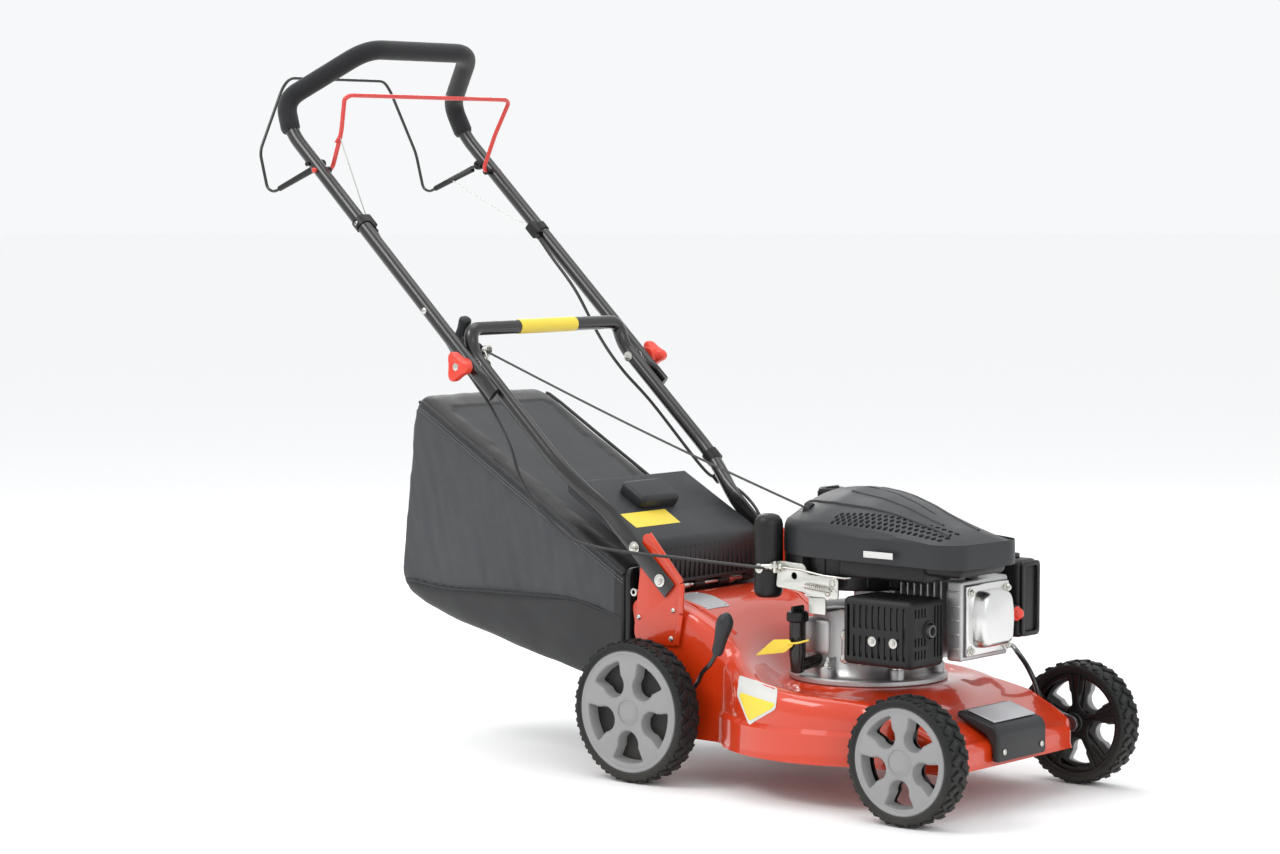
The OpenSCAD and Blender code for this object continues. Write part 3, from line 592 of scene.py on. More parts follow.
def cloth(name, thread, gap_shade, rough, threads, fleck, bump):
    """Woven cloth on the piece's own map, mottled along its threads."""
    mat = bpy.data.materials.new(name)
    mat.use_nodes = True
    tree = mat.node_tree
    shader = tree.nodes["Principled BSDF"]
    weave = group_node(mat, "weave", Threads=threads, Crossings=threads)
    grit = group_node(mat, "grain", Grain_Scale=500.0, Mottle_Scale=9.0)
    # the gaps between threads are painted near black: painted shade of the openings in the weave
    base = blend_colour(mat, weave.outputs["Gap Shade"], thread, gap_shade, 0.8)
    base = blend_colour(mat, weave.outputs["Fleck"], base, tuple(min(1.0, c * 1.9 + 0.02) for c in thread), fleck)
    base = blend_colour(mat, grit.outputs["Mottle"], base, tuple(c * 0.7 for c in thread), 0.5)
    tree.links.new(base, shader.inputs["Base Color"])
    shader.inputs["Roughness"].default_value = rough
    shader.inputs["Sheen Weight"].default_value = 0.08
    shader.inputs["Sheen Roughness"].default_value = 0.4
    lift = tree.nodes.new("ShaderNodeBump")
    lift.inputs["Strength"].default_value = bump
    lift.inputs["Distance"].default_value = 0.0006
    tree.links.new(math_node(tree, "ADD", weave.outputs["Height"],
                             math_node(tree, "MULTIPLY", weave.outputs["Fleck"], 1.5)), lift.inputs["Height"])
    tree.links.new(lift.outputs["Normal"], shader.inputs["Normal"])
    return mat


FINISHES = {}


def look(key):
    """The finish of that name, made the first time it is asked for."""
    if key in FINISHES:
        return FINISHES[key]
    colours = bpy.context.scene.mower_colours
    red, grey, label = tuple(colours.deck_red), tuple(colours.plastic_grey), tuple(colours.label_yellow)
    made = {
        "paint": lambda: finish("Deck Enamel", red, 0.34, coat=1.0, coat_rough=0.03, grain=420.0, bump=0.04,
                                depth=0.0003, mottle=0.05, marks=0.03, mark_colour=(0.6, 0.1, 0.03), dust=0.03,
                                specular=0.3),
        "black paint": lambda: finish("Black Enamel on Steel", (0.006, 0.006, 0.0065), 0.30, coat=0.4, coat_rough=0.12,
                                      grain=700.0, bump=0.08, mottle=0.2, marks=0.12, mark_colour=(0.12, 0.12, 0.12)),
        "red rod": lambda: finish("Red Coated Wire", (0.60, 0.030, 0.020), 0.35, coat=0.5, grain=800.0, bump=0.08),
        "zinc": lambda: finish("Zinc Plate", (0.62, 0.62, 0.58), 0.28, metal=1.0, grain=600.0, bump=0.1, mottle=0.2,
                               marks=0.3, rough_swing=0.2),
        "cast": lambda: finish("Cast Aluminium", (0.50, 0.50, 0.50), 0.42, metal=0.9, grain=520.0, bump=0.5,
                               depth=0.0005, mottle=0.2, marks=0.1, rough_swing=0.15),
        "bright": lambda: finish("Polished Cover Metal", (0.72, 0.72, 0.71), 0.24, metal=1.0, grain=300.0, bump=0.12,
                                 mottle=0.12, marks=0.15, rough_swing=0.12),
        "steel": lambda: finish("Blade Steel", (0.26, 0.26, 0.27), 0.40, metal=1.0, grain=400.0, bump=0.2,
                                mottle=0.35, marks=0.4, dust=0.4),
        "iron": lambda: finish("Cast Iron", (0.17, 0.17, 0.17), 0.55, metal=0.8, grain=380.0, bump=0.5, depth=0.0006),
        "heat black": lambda: finish("Heat Resistant Black", (0.008, 0.008, 0.0085), 0.5, specular=0.35, grain=700.0,
                                     bump=0.3, mottle=0.3, marks=0.2, mark_colour=(0.1, 0.1, 0.1)),
        "dark plastic": lambda: finish("Dark Grey Moulding", (0.021, 0.022, 0.024), 0.42, specular=0.36,
                                       grain=1100.0, bump=0.35,
                                       mottle=0.1, marks=0.12),
        "black plastic": lambda: finish("Black Moulding", (0.007, 0.007, 0.0075), 0.40, specular=0.36,
                                        grain=1200.0, bump=0.3,
                                        mottle=0.15, marks=0.12),
        "grey plastic": lambda: finish("Grey Wheel Moulding", grey, 0.38, grain=1000.0, bump=0.25, mottle=0.06,
                                       marks=0.1, dust=0.1, dust_height=0.25),
        "red plastic": lambda: finish("Red Moulding", (0.72, 0.05, 0.025), 0.32, grain=900.0, bump=0.12, mottle=0.1),
        "tread": lambda: finish("Tread Rubber", (0.011, 0.0115, 0.012), 0.60, grain=900.0, bump=0.5, depth=0.0004,
                                mottle=0.2, marks=0.15, dust=0.12, dust_height=0.12, specular=0.3),
        "foam": lambda: finish("Closed Cell Foam", (0.013, 0.0135, 0.015), 0.86, grain=650.0, bump=0.9, depth=0.0007,
                               mottle=0.2, sheen=0.2, marks=0.0, specular=0.25),
        "cable": lambda: finish("Cable Sheath", (0.012, 0.012, 0.013), 0.38, grain=900.0, bump=0.1, marks=0.05),
        "tan plate": lambda: finish("Blank Silver Plate", (0.42, 0.43, 0.44), 0.4, metal=0.3, grain=700.0, bump=0.1),
        "yellow": lambda: finish("Blank Yellow Label", label, 0.42, grain=700.0, bump=0.06, mottle=0.05, marks=0.12,
                                 mark_colour=(0.5, 0.42, 0.2)),
        "white": lambda: finish("Blank White Label", (0.62, 0.62, 0.60), 0.42, grain=700.0, bump=0.06, mottle=0.04),
        "silver label": lambda: finish("Blank Silver Label", (0.5, 0.5, 0.52), 0.36, metal=0.4, grain=700.0, bump=0.06),
        "oil tube": lambda: finish("Glossy Black Tube", (0.012, 0.008, 0.008), 0.22, grain=900.0, bump=0.15),
        "rope": lambda: finish("Starter Rope", (0.07, 0.07, 0.07), 0.8, grain=1500.0, bump=1.0, depth=0.0008,
                               mottle=0.4, marks=0.0),
        "gasket": lambda: finish("Grey Sealant", (0.10, 0.10, 0.10), 0.5, grain=900.0, bump=0.2),
        # near-black finish for the disc in the rope mouth: painted shade standing in for the dark inside of the hole
        "hole": lambda: finish("Painted Hole Shade", (0.004, 0.004, 0.004), 0.9, grain=500.0, bump=0.2, marks=0.0),
        # the second colour of each cloth is the painted shade in the gaps between its threads
        "mesh cloth": lambda: cloth("Open Mesh Cloth", (0.048, 0.050, 0.055), (0.008, 0.008, 0.009), 0.8, 2400.0, 0.75,
                                    0.9),
        "plain cloth": lambda: cloth("Coated Bag Cloth", (0.013, 0.0135, 0.015), (0.008, 0.008, 0.009), 0.52,
                                     3200.0, 0.2, 0.25),
        "hem cloth": lambda: cloth("Bound Hem Cloth", (0.010, 0.0105, 0.012), (0.006, 0.006, 0.007), 0.45, 3200.0, 0.15,
                                   0.2),
        "stitch": lambda: finish("Stitching Thread", (0.11, 0.11, 0.115), 0.7, grain=1500.0, bump=0.5, marks=0.0),
    }
    FINISHES[key] = made[key]()
    return FINISHES[key]


# ---------------------------------------------------------------- deck


RIDGE = [(-550, 262), (-470, 258), (-430, 242), (-385, 214), (-352, 190), (-300, 168), (-225, 160), (-120, 153),
         (-60, 138), (0, 113), (22, 97), (30, 90)]


def deck_outline(phi, outline):
    """Distance from the crankshaft to the deck's edge in a direction."""
    c, s = math.cos(phi), math.sin(phi)
    best = DECK_R
    for (x0, y0), (x1, y1) in zip(outline, outline[1:] + outline[:1]):
        a, b = x0 - CRANK_X, x1 - CRANK_X
        det = c * (y1 - y0) - s * (b - a)
        if abs(det) < 1e-9:
            continue
        t = (a * (y1 - y0) - y0 * (b - a)) / det
        u = (s * a - c * y0) / det
        if t > 0 and -1e-6 <= u <= 1 + 1e-6:
            best = max(best, t)
    return best


def deck_skin():
    half = CHUTE_W / 2
    outline = [(CRANK_X, -176), (-50, -176), (18, -162), (30, -144), (30, 144), (18, 162), (-50, 176), (CRANK_X, 176),
               (CRANK_X, half), (-550, half), (-550, -half), (CRANK_X, -half)]
    corner = [math.atan2(y, x - CRANK_X) for x, y in outline if x not in (CRANK_X,)]
    angles = sorted({round(2 * math.pi * k / 150 - math.pi, 5) for k in range(150)}
                    | {round(a + d, 5) for a in corner for d in (-0.02, 0.0, 0.02)})
    reach = [deck_outline(a, outline) for a in angles]
    round_part = [1.0 if r <= DECK_R + 0.01 else 0.0 for r in reach]
    n = len(angles)
    soft = [sum(round_part[(i + k) % n] for k in range(-3, 4)) / 7 for i in range(n)]
    shoulders = [14 + 18 * s for s in soft]
    inner = [64, 117, 121, 125, 131, 140, 150, 160, 170, 178, 185]
    rings = [[] for _ in range(len(inner) + 10 + 8 + 6)]
    for phi, r, sh, rnd in zip(angles, reach, shoulders, soft):
        c, s = math.cos(phi), math.sin(phi)
        top_r = r - 7 * rnd
        flat_end = max(top_r - sh, 186)

        def height(rho):
            x = CRANK_X + rho * c
            z = 160 + (soft_ramp(x, RIDGE) - 160) * smooth((rho - 121) / 46)
            bowl = 7.5 * smooth((rho - 121) / 8) * (1 - smooth((rho - 158) / 24)) * (1 - smooth((c - 0.15) / 0.5))
            crown = 5 * smooth((rho - 183) / 20) * (1 - smooth((rho - flat_end + 25) / 30)) if c < 0 else 0
            return z - bowl + crown * smooth((-c - 0.55) / 0.3)

        column = [(rho, height(rho)) for rho in inner]
        column += [(185 + (flat_end - 185) * k / 10, height(185 + (flat_end - 185) * k / 10)) for k in range(1, 11)]
        edge_z = height(flat_end)
        drop = min(sh, top_r - flat_end + 6)
        for k in range(1, 8):
            a = k / 7 * math.pi / 2
            column.append((flat_end + (top_r - flat_end) * math.sin(a), edge_z - drop * (1 - math.cos(a))))
        x_edge = CRANK_X + r * c
        if x_edge < -549:
            low = 246
        else:
            low = 152 if x_edge < -481 else 64
        lip = 2.0 if low == 64 else 0.0
        wall = [(top_r, 112), (r, 106), (r, 96), (r, 72), (r + lip * 0.5, 67), (r + lip, 64), (r + lip * 0.6, 63)]
        for rho, z in wall:
            column.append((rho if low == 64 else top_r, min(column[-1][1], max(z, low))))
        while len(rings) < len(column):
            rings.append([])
        for ring_, (rho, z) in zip(rings, column):
            ring_.append((CRANK_X + rho * c, rho * s, z))
    rings = [r_ for r_ in rings if r_]
    obj = loft(rings)
    face_up(obj)
    modify(obj, "SOLIDIFY", thickness=size("deck_steel") * MM, offset=-1, use_quality_normals=True)
    return obj


def bracket_parts():
    parts = []
    outline = arc_poly([(-528, 358), (-515, 360), (-452, 292), (-454, 246), (-463, 197), (-540, 197), (-546, 212),
                        (-532, 320)], 9)
    parts.append(plate([outline, circle_loop(*HINGE, 4.3)], 3, SIDE, (0, -CHUTE_W / 2 - 1.5, 0), 0.5))
    # stiffening flange along the front edge
    edge = [(-515, 360), (-452, 292), (-454, 246), (-463, 199)]
    for (x0, z0), (x1, z1) in zip(edge, edge[1:]):
        a = Vector((x1 - x0, 0, z1 - z0))
        strip = block((-1.5, -4.5, -a.length / 2 + 1), (1.5, 4.5, a.length / 2 - 1), 0.8, 2)
        strip.matrix_world = Matrix.Translation(at((x0 + x1) / 2, -CHUTE_W / 2 - 5, (z0 + z1) / 2)) \
            @ a.to_track_quat("Z", "Y").to_matrix().to_4x4() @ Matrix.Translation(-at(0, 0, 0))
        parts.append(settle(strip))
    return [twin for p in parts for twin in pair(paint(p, look("paint")))]


def build_deck():
    parts = [paint(deck_skin(), look("paint"), 40)]
    parts += bracket_parts()
    floor = block((-549, -141, 151), (-436, 141, 154), 0.5)
    slope = block((-2, -141, -22), (2, 141, 22), 0.5)
    slope.matrix_world = Matrix.Translation(at(-420, 0, 138)) @ Matrix.Rotation(math.radians(-52), 4, "Y") \
        @ Matrix.Translation(-at(0, 0, 0))
    parts += [paint(floor, look("paint")), paint(settle(slope), look("paint"))]
    # pressed rib on each side of the rear body
    for y in (-1, 1):
        rib = tube([(-470, y * 120, 259), (-440, y * 118, 251), (-412, y * 112, 235), (-388, y * 104, 217)], 4.5)
        parts.append(paint(rib, look("paint"), 60))
    for x, z in ((-536, 235), (-474, 208), (-470, 250)):
        for y in (-1, 1):
            screw = dome_screw((x, y * 148, z), (0, y, 0), 4)
            parts.append(paint(screw, look("zinc")))
    for a in (-62, -118, 62, 118):
        p = (CRANK_X + 199 * math.cos(math.radians(a)), 199 * math.sin(math.radians(a)), 140)
        parts.append(paint(ball(p, 4.5, (1, 1, 0.5)), look("paint")))
    skin = skin_of(parts[0])
    place("deck", parts, "chassis", "red_paint", "deck", "handle_brackets")
    labels = []
    for outline, lift, key in (
        ([(-302, 174), (-234, 164), (-239, 135), (-286, 107), (-307, 146)], 1.6, "white"),
        ([(-300, 151), (-240, 143), (-243, 137), (-286, 112), (-303, 146)], 2.1, "yellow"),
    ):
        loop = [(x, -203, z) for x, z in arc_poly(outline, 4)]
        labels.append(paint(drape(loop, (-0.642, 0.763, -0.073), skin, lift, 0.6), look(key)))
    place("deck_label", labels, "chassis", "zinc")
    down = Vector((0, 0, -1))
    plan = [(x, y, 300) for x, y in arc_poly([(-504, -118), (-438, -112), (-438, -54), (-504, -54)], 4)]
    info = [paint(drape(plan, down, skin, 1.0, 0.9), look("silver label"))]
    for x in (-498, -444):
        for y in (-108, -60):
            hit = skin.ray_cast(at(x, y, 300), down)[0]
            info.append(paint(ball((x, y, hit.z / MM + 1.2), 2.2, (1, 1, 0.5)), look("zinc")))
    place("info_plate", info, "chassis", "zinc")


def skin_of(obj):
    return BVHTree.FromPolygons([v.co for v in obj.data.vertices], [list(f.vertices) for f in obj.data.polygons])


def drape(loop, way, skin, lift=0.7, thick=0.5):
    """A thin label whose outline is pushed along a direction on to a piece."""
    way = Vector(way).normalized()
    mesh = bpy.data.meshes.new("label")
    mesh.from_pydata([at(*p) for p in loop], [], [list(range(len(loop)))])
    obj = bpy.data.objects.new("label", mesh)
    bpy.context.collection.objects.link(obj)
    pick(obj)
    bpy.ops.object.mode_set(mode="EDIT")
    bpy.ops.mesh.select_all(action="SELECT")
    bpy.ops.mesh.quads_convert_to_tris()
    bpy.ops.mesh.subdivide(number_cuts=5)
    bpy.ops.object.mode_set(mode="OBJECT")
    for v in mesh.vertices:
        hit = skin.ray_cast(v.co - way * 0.2, way)[0]
        if hit is not None:
            v.co = hit - way * lift * MM
    if sum((f.normal * f.area for f in mesh.polygons), Vector()).dot(way) > 0:
        bpy.ops.object.mode_set(mode="EDIT")
        bpy.ops.mesh.flip_normals()
        bpy.ops.object.mode_set(mode="OBJECT")
    modify(obj, "SOLIDIFY", thickness=thick * MM, offset=-1)
    return obj


def build_nose():
    """The carry handle at the front, with its blank plate."""
    half = 61
    top = arc_poly([(-28, 128.5), (-28, 136.5), (-18, 137), (36, 121), (43, 112), (43.5, 70), (31, 70), (31, 90),
                    (22, 106), (2, 115)], 6)
    body = plate([top], 2 * half, SIDE, (0, 0, 0), 5.0)
    hollow = block((-12, -half + 14, 60), (37, half - 14, 112), 6)
    notch = block((-60, -half + 13, 100), (-16, half - 13, 128.2), 3)
    parts = [paint(cut(body, hollow, notch), look("dark plastic"))]
    slope = math.atan2(16, 54)
    badge = block((-23, -half + 9, -1.2), (23, half - 9, 1.2), 1.1)
    badge.matrix_world = Matrix.Translation(at(8, 0, 131.4)) @ Matrix.Rotation(slope, 4, "Y") \
        @ Matrix.Translation(-at(0, 0, 0))
    parts.append(paint(settle(badge), look("silver label")))
    for y in (-47, 47):
        parts.append(paint(dome_screw((44.0, y, 84), (1, 0, 0), 4.5), look("zinc")))
    place("carry_handle", parts, "chassis", "dark_plastic", "carry_handle")


def build_hinge():
    """The hinge rod of the flap with its coil spring and sleeves."""
    x, z = HINGE
    parts = [paint(rod((x, -150, z), (x, 150, z), 4, 0.8), look("zinc"))]
    for y in (-147, 147):
        parts.append(paint(rod((x, y - 3, z), (x, y + 3, z), 6.2, 1.2), look("zinc")))
    for y0, y1 in ((-84, -60), (-40, -22), (60, 84)):
        parts.append(paint(rod((x, y0, z), (x, y1, z), 6.2, 1.0), look("zinc")))
    coil = [(x + 7.2 * math.cos(t * 0.5), -58 + 0.28 * t, z + 7.2 * math.sin(t * 0.5)) for t in range(0, 62)]
    legs = [(x + 20, -58, z - 4), (x + 12, -58, z - 6)] + coil + [(x - 2, -40.5, z + 22), (x - 3, -40.5, z + 40)]
    parts.append(paint(tube(legs, 1.1, 2), look("zinc"), 60))
    place("flap_rod", parts, "chassis", "zinc", "flap_rod")


# ---------------------------------------------------------------- engine


def build_crankcase():
    parts = []
    base = lathe([(30, 160), (113, 160), (115, 161.5), (115, 167), (113, 169), (96, 169), (92, 172), (88, 182),
                  (82, 200), (80, 215), (80, 258), (77, 265), (30, 265)], (CRANK_X, 0, 0), steps=96)
    parts.append(base)
    for a in range(30, 360, 60):
        x, y = CRANK_X + 101 * math.cos(math.radians(a)), 101 * math.sin(math.radians(a))
        parts.append(rod((x, y, 160.5), (x, y, 184), 10, 1.5))
        rib = block((-12, -3.5, 165), (14, 3.5, 198), 1.5)
        rib.matrix_world = Matrix.Translation(at(CRANK_X, 0, 0)) @ Matrix.Rotation(math.radians(a), 4, "Z") \
            @ Matrix.Translation(Vector((0.086, 0, 0))) @ Matrix.Translation(-at(0, 0, 0))
        parts.append(settle(rib))
    barrel = block((CRANK_X, -42, CYL_Z - 46), (HEAD_X, 42, CYL_Z + 46), 9)
    parts.append(barrel)
    for k in range(8):
        x = -142 + 11.5 * k
        parts.append(block((x, -55, CYL_Z - 55), (x + 3, 55, CYL_Z + 55), 1.2, 2))
    head = block((HEAD_X, -58, CYL_Z - 57), (HEAD_X + 26, 58, CYL_Z + 57), 4)
    parts.append(head)
    for k in range(5):
        z = CYL_Z - 40 + 20 * k
        parts.append(block((HEAD_X + 3, -61, z), (HEAD_X + 22, 61, z + 3), 1.2, 2))
    parts.append(block((CRANK_X + 20, -96, 190), (CRANK_X + 62, -60, 240), 5))
    parts.append(block((CRANK_X - 60, -84, 196), (CRANK_X - 8, -58, 250), 8))
    parts = [paint(p, look("cast")) for p in parts]
    for a in range(30, 360, 60):
        x, y = CRANK_X + 101 * math.cos(math.radians(a)), 101 * math.sin(math.radians(a))
        parts += [paint(p, look("zinc")) for p in hex_bolt((x, y, 184), (0, 0, 1), 5.5, 6, 9)]
    for x in (CRANK_X + 27, CRANK_X + 55):
        for z in (198, 232):
            parts += [paint(p, look("zinc")) for p in hex_bolt((x, -96, z), (0, -1, 0), 4, 4, 6)]
    place("crankcase", parts, "chassis", "cast", "crankcase")


def build_valve_cover():
    x = HEAD_X + 26
    parts = [paint(block((x, -53, CYL_Z - 51), (x + 1.4, 53, CYL_Z + 51), 0.6), look("gasket"))]
    parts.append(paint(block((x + 1.2, -52, CYL_Z - 50), (x + 6, 52, CYL_Z + 50), 2.2), look("bright")))
    outline = arc_poly([(-38, -40), (38, -40), (42, 6), (34, 42), (-34, 42), (-42, 6)], 14)
    rings = []
    for depth, scale in ((4, 1.0), (10, 0.985), (18, 0.955), (23, 0.91), (26, 0.84), (27, 0.74)):
        rings.append([(x + depth, u * scale, CYL_Z + v * scale) for u, v in outline])
    dome = loft(rings, caps=(True, True))
    parts.append(paint(dome, look("bright"), 50))
    parts.append(paint(block((x + 10, -24, CYL_Z - 36), (x + 25.5, 24, CYL_Z - 6), 4), look("bright"), 50))
    for y, z in ((-45, 40), (45, 40), (-45, -42), (45, -42)):
        parts += [paint(p, look("zinc")) for p in hex_bolt((x + 6, y, CYL_Z + z), (1, 0, 0), 5, 5, 7)]
    place("valve_cover", parts, "chassis", "zinc", "valve_cover")


def build_muffler():
    """The muffler inside its slotted guard."""
    inner = block((-157, -136, 208), (-55, -72, 290), 8)
    pipe = rod((-60, -104, 252), (-38.5, -104, 252), 9, 1.0)
    cut(pipe, rod((-58, -104, 252), (-30, -104, 252), 6.5))
    link = rod((-98, -76, CYL_Z), (-98, -42, CYL_Z), 8)
    place("muffler", [paint(p, look("iron")) for p in (inner, pipe, link)], "chassis", "iron", "muffler")
    shell = block((-165, -146, 200), (-45, -64, 296), 9, 4)
    cut(shell, block((-162, -143, 203), (-48, -50, 293), 7, 3))
    slots = []
    for i in range(10):
        x = -156 + 10.6 * i
        long = i in (0, 1, 8, 9)
        for z0, z1 in (((212, 286),) if long and i in (0, 9) else ((212, 243), (253, 286))):
            slots.append(block((x, -150, z0), (x + 4.6, -140, z1), 2.0))
    for i in range(8):
        slots.append(block((-154 + 12.5 * i, -132, 290), (-148 + 12.5 * i, -84, 300), 2.2))
    for i in range(4):
        for z in (214, 232, 272):
            slots.append(block((-50, -138 + 7.4 * i, z), (-40, -134.6 + 7.4 * i, z + 13), 1.3))
    for i in range(4):
        slots.append(block((-50, -92 + 7.4 * i, 214), (-40, -88.6 + 7.4 * i, 286), 1.3))
    slots.append(rod((-52, -104, 252), (-38, -104, 252), 11.5))
    cut(shell, gather("slots", slots))
    parts = [paint(shell, look("heat black"), 40)]
    rim = lathe([(11.5, 0), (14.5, 0), (15, 1), (14.5, 2), (11.5, 2)], (-45.5, -104, 252), (1, 0, 0), 40)
    parts.append(paint(rim, look("heat black")))
    for x, z in ((-112, 236), (-76, 236)):
        parts += [paint(p, look("zinc")) for p in hex_bolt((x, -146, z), (0, -1, 0), 4.5, 4, 7)]
    place("muffler_guard", parts, "chassis", "black_paint", "muffler_guard")


def hull_outline(circles, count):
    """Points evenly round the convex outline of several circles."""
    pts = sorted({(round(x + r * math.cos(2 * math.pi * k / 90), 4), round(y + r * math.sin(2 * math.pi * k / 90), 4))
                  for x, y, r in circles for k in range(90)})

    def chain(seq):
        out = []
        for p in seq:
            while len(out) > 1 and ((out[-1][0] - out[-2][0]) * (p[1] - out[-2][1])
                                    - (out[-1][1] - out[-2][1]) * (p[0] - out[-2][0])) <= 0:
                out.pop()
            out.append(p)
        return out[:-1]

    loop = chain(pts) + chain(pts[::-1])
    ends = loop + loop[:1]
    lengths = [math.dist(a, b) for a, b in zip(ends, ends[1:])]
    step, out = sum(lengths) / count, []
    i, used = 0, 0.0
    for k in range(count):
        goal = k * step
        while used + lengths[i] < goal - 1e-9:
            used += lengths[i]
            i += 1
        t = (goal - used) / lengths[i]
        out.append((ends[i][0] + (ends[i + 1][0] - ends[i][0]) * t, ends[i][1] + (ends[i + 1][1] - ends[i][1]) * t))
    return out


SHROUD = [(CRANK_X, -8, 118), (-5, -112, 32), (0, -20, 34)]
SHROUD_RIDGE = [(-345, 400), (-321, 420), (-290, 432), (-225, 437), (-160, 430), (-110, 419), (-59, 404), (-11, 392),
                (32, 383)]


ROPE_MOUTH = (-276, -80, 407.5)


def shroud_height(x, f):
    """Height of the shroud's top; f runs from 0 at its edge to 1 on its spine."""
    edge = ramp(x, [(-343, 388), (-225, 387), (-60, 380), (35, 372)])
    top = ramp(x, SHROUD_RIDGE)
    return edge + (top - edge) * (1 - (1 - f) ** 2.1)


def build_shroud():
    outline = hull_outline(SHROUD, 120)
    spine = [Vector((-255, 0)), Vector((-190, -6)), Vector((-110, -34)), Vector((-25, -64))]

    def to_spine(p):
        best = None
        for a, b in zip(spine, spine[1:]):
            t = max(0.0, min(1.0, (p - a).dot(b - a) / (b - a).length_squared))
            q = a + (b - a) * t
            if best is None or (p - q).length < (p - best).length:
                best = q
        return best

    rings = []
    for z, inset in ((344, 3.5), (343, 1.0), (344, 0.0), (352, -0.2), (362, -0.2), (372, 0.0), (378, 0.3)):
        rings.append([(x - inset * n.x, y - inset * n.y, z) for x, y, n in
                      ((x, y, (Vector((x, y)) - to_spine(Vector((x, y)))).normalized()) for x, y in outline)])
    for f in (0.0, 0.03, 0.08, 0.15, 0.24, 0.34, 0.45, 0.57, 0.7, 0.83, 0.93, 0.985):
        loop = []
        for x, y in outline:
            p = Vector((x, y))
            q = p + (to_spine(p) - p) * (f * 0.97 + 0.012)
            z = shroud_height(q.x, f)
            if f == 0.0:
                z -= 4.5
            loop.append((q.x, q.y, z))
        rings.append(loop)
    shell = loft(rings)
    pick(shell)
    bpy.ops.object.mode_set(mode="EDIT")
    bpy.ops.mesh.select_all(action="DESELECT")
    bpy.ops.object.mode_set(mode="OBJECT")
    for v in shell.data.vertices:
        v.select = v.co.z > 0.372
    bpy.ops.object.mode_set(mode="EDIT")
    bpy.ops.mesh.select_mode(type="VERT")
    bpy.ops.mesh.select_non_manifold(extend=False)
    bpy.ops.object.mode_set(mode="OBJECT")
    for v in shell.data.vertices:
        v.select = v.select and v.co.z > 0.375
    bpy.ops.object.mode_set(mode="EDIT")
    bpy.ops.mesh.edge_face_add()
    bpy.ops.mesh.select_all(action="SELECT")
    bpy.ops.mesh.normals_make_consistent(inside=False)
    bpy.ops.object.mode_set(mode="OBJECT")
    face_up(shell)
    modify(shell, "SOLIDIFY", thickness=3 * MM, offset=-1)
    holes = []
    for j in range(4):
        for i in range(19):
            x = -204 + 10.6 * i + 5.3 * (j % 2)
            near, far = -116 - 0.05 * (x + 204), -102 + 0.055 * (x + 204)
            y = near + (far - near) * j / 3
            holes.append(rod((x, y, 350), (x, y, 430), 3.3 + 1.1 * (x + 204) / 210, 0, 6))
    cut(shell, gather("grille", holes))
    parts = [paint(shell, look("dark plastic"), 32)]
    lips = []
    # raised sweeping ridges on the top
    for points, width in (
        ([(-300, -52, 0), (-250, -74, 0), (-190, -82, 0), (-120, -88, 0), (-60, -96, 0), (-10, -106, 0)], 3.2),
        ([(-262, 40, 0), (-205, 34, 0), (-140, 14, 0), (-75, -12, 0), (-10, -36, 0)], 3.2),
        ([(-225, -40, 0), (-170, -50, 0), (-110, -62, 0), (-40, -78, 0)], 2.6),
    ):
        path = []
        for p in flow(points, 8):
            q = to_spine(Vector((p.x, p.y)))
            d = (Vector((p.x, p.y)) - q)
            far = max(0.0, 1 - d.length / edge_reach(outline, q, d))
            path.append((p.x, p.y, shroud_height(p.x, min(1.0, far)) - width * 0.35))
        lips.append(paint(tube(path, width, 3), look("dark plastic"), 60))
    parts += lips
    # rope mouth with its collar, a near-black disc of painted shade inside it, and its roller
    way = Vector((-0.915, -0.14, 0.38)).normalized()
    collar = lathe([(6.6, -7), (10.5, -7), (10.5, 1.2), (9.8, 2.2), (7.4, 2.2), (6.6, 1.2)], ROPE_MOUTH, way, 40)
    parts.append(paint(collar, look("black plastic")))
    # a near-black disc inside the collar paints the shade of the hole in place of a cut opening
    parts.append(paint(lathe([(0, -6), (6.7, -6), (6.7, -5), (0, -5)], ROPE_MOUTH, way, 24), look("hole")))
    low = Vector(ROPE_MOUTH) + way * 3 - Vector((0, 0, 5))
    parts.append(paint(rod(low - Vector((0, 8, 0)), low + Vector((0, 8, 0)), 2.6, 0.5), look("zinc")))
    parts.append(paint(block((-128, -146.5, 353), (-78, -145.4, 362), 0.4), look("white")))
    neck = lathe([(20, 390), (20, 400), (17, 403.5), (9.5, 403.5), (9.5, 390)], (-316, 34, 0), steps=48)
    parts.append(paint(neck, look("black plastic")))
    place("blower_shroud", parts, "chassis", "dark_plastic", "blower_shroud")


def edge_reach(outline, start, way):
    """How far the outline lies from a point in a direction."""
    if way.length < 1e-6:
        return 60.0
    d = way.normalized()
    best = 60.0
    for (x0, y0), (x1, y1) in zip(outline, outline[1:] + outline[:1]):
        ex, ey = x1 - x0, y1 - y0
        det = d.x * ey - d.y * ex
        if abs(det) < 1e-9:
            continue
        t = ((x0 - start.x) * ey - (y0 - start.y) * ex) / det
        u = ((x0 - start.x) * d.y - (y0 - start.y) * d.x) / det
        if t > 0 and 0 <= u <= 1:
            best = t
    return best


def build_fan_housing():
    x, y = CRANK_X, -8
    ring_ = lathe([(60, 296), (96, 296), (101, 298), (104, 303), (104, 349.6), (92, 349.6), (92, 304), (89, 300),
                   (60, 300)], (x, y, 0), steps=96)
    duct = block((-195, -116, 318), (-45, -46, 349.6), 6)
    cut(duct, block((-191, -112, 322), (-49, -50, 360), 4))
    parts = [ring_, duct]
    for a in range(200, 350, 18):
        c, s = math.cos(math.radians(a)), math.sin(math.radians(a))
        parts.append(rod((x + 104.5 * c, y + 104.5 * s, 304), (x + 104.5 * c, y + 104.5 * s, 346), 2.0, 0, 12))
    parts.append(block((-45, -120, 330), (18, -6, 349.6), 8))
    place("fan_housing", [paint(p, look("black plastic")) for p in parts], "chassis", "black_plastic", "fan_housing")


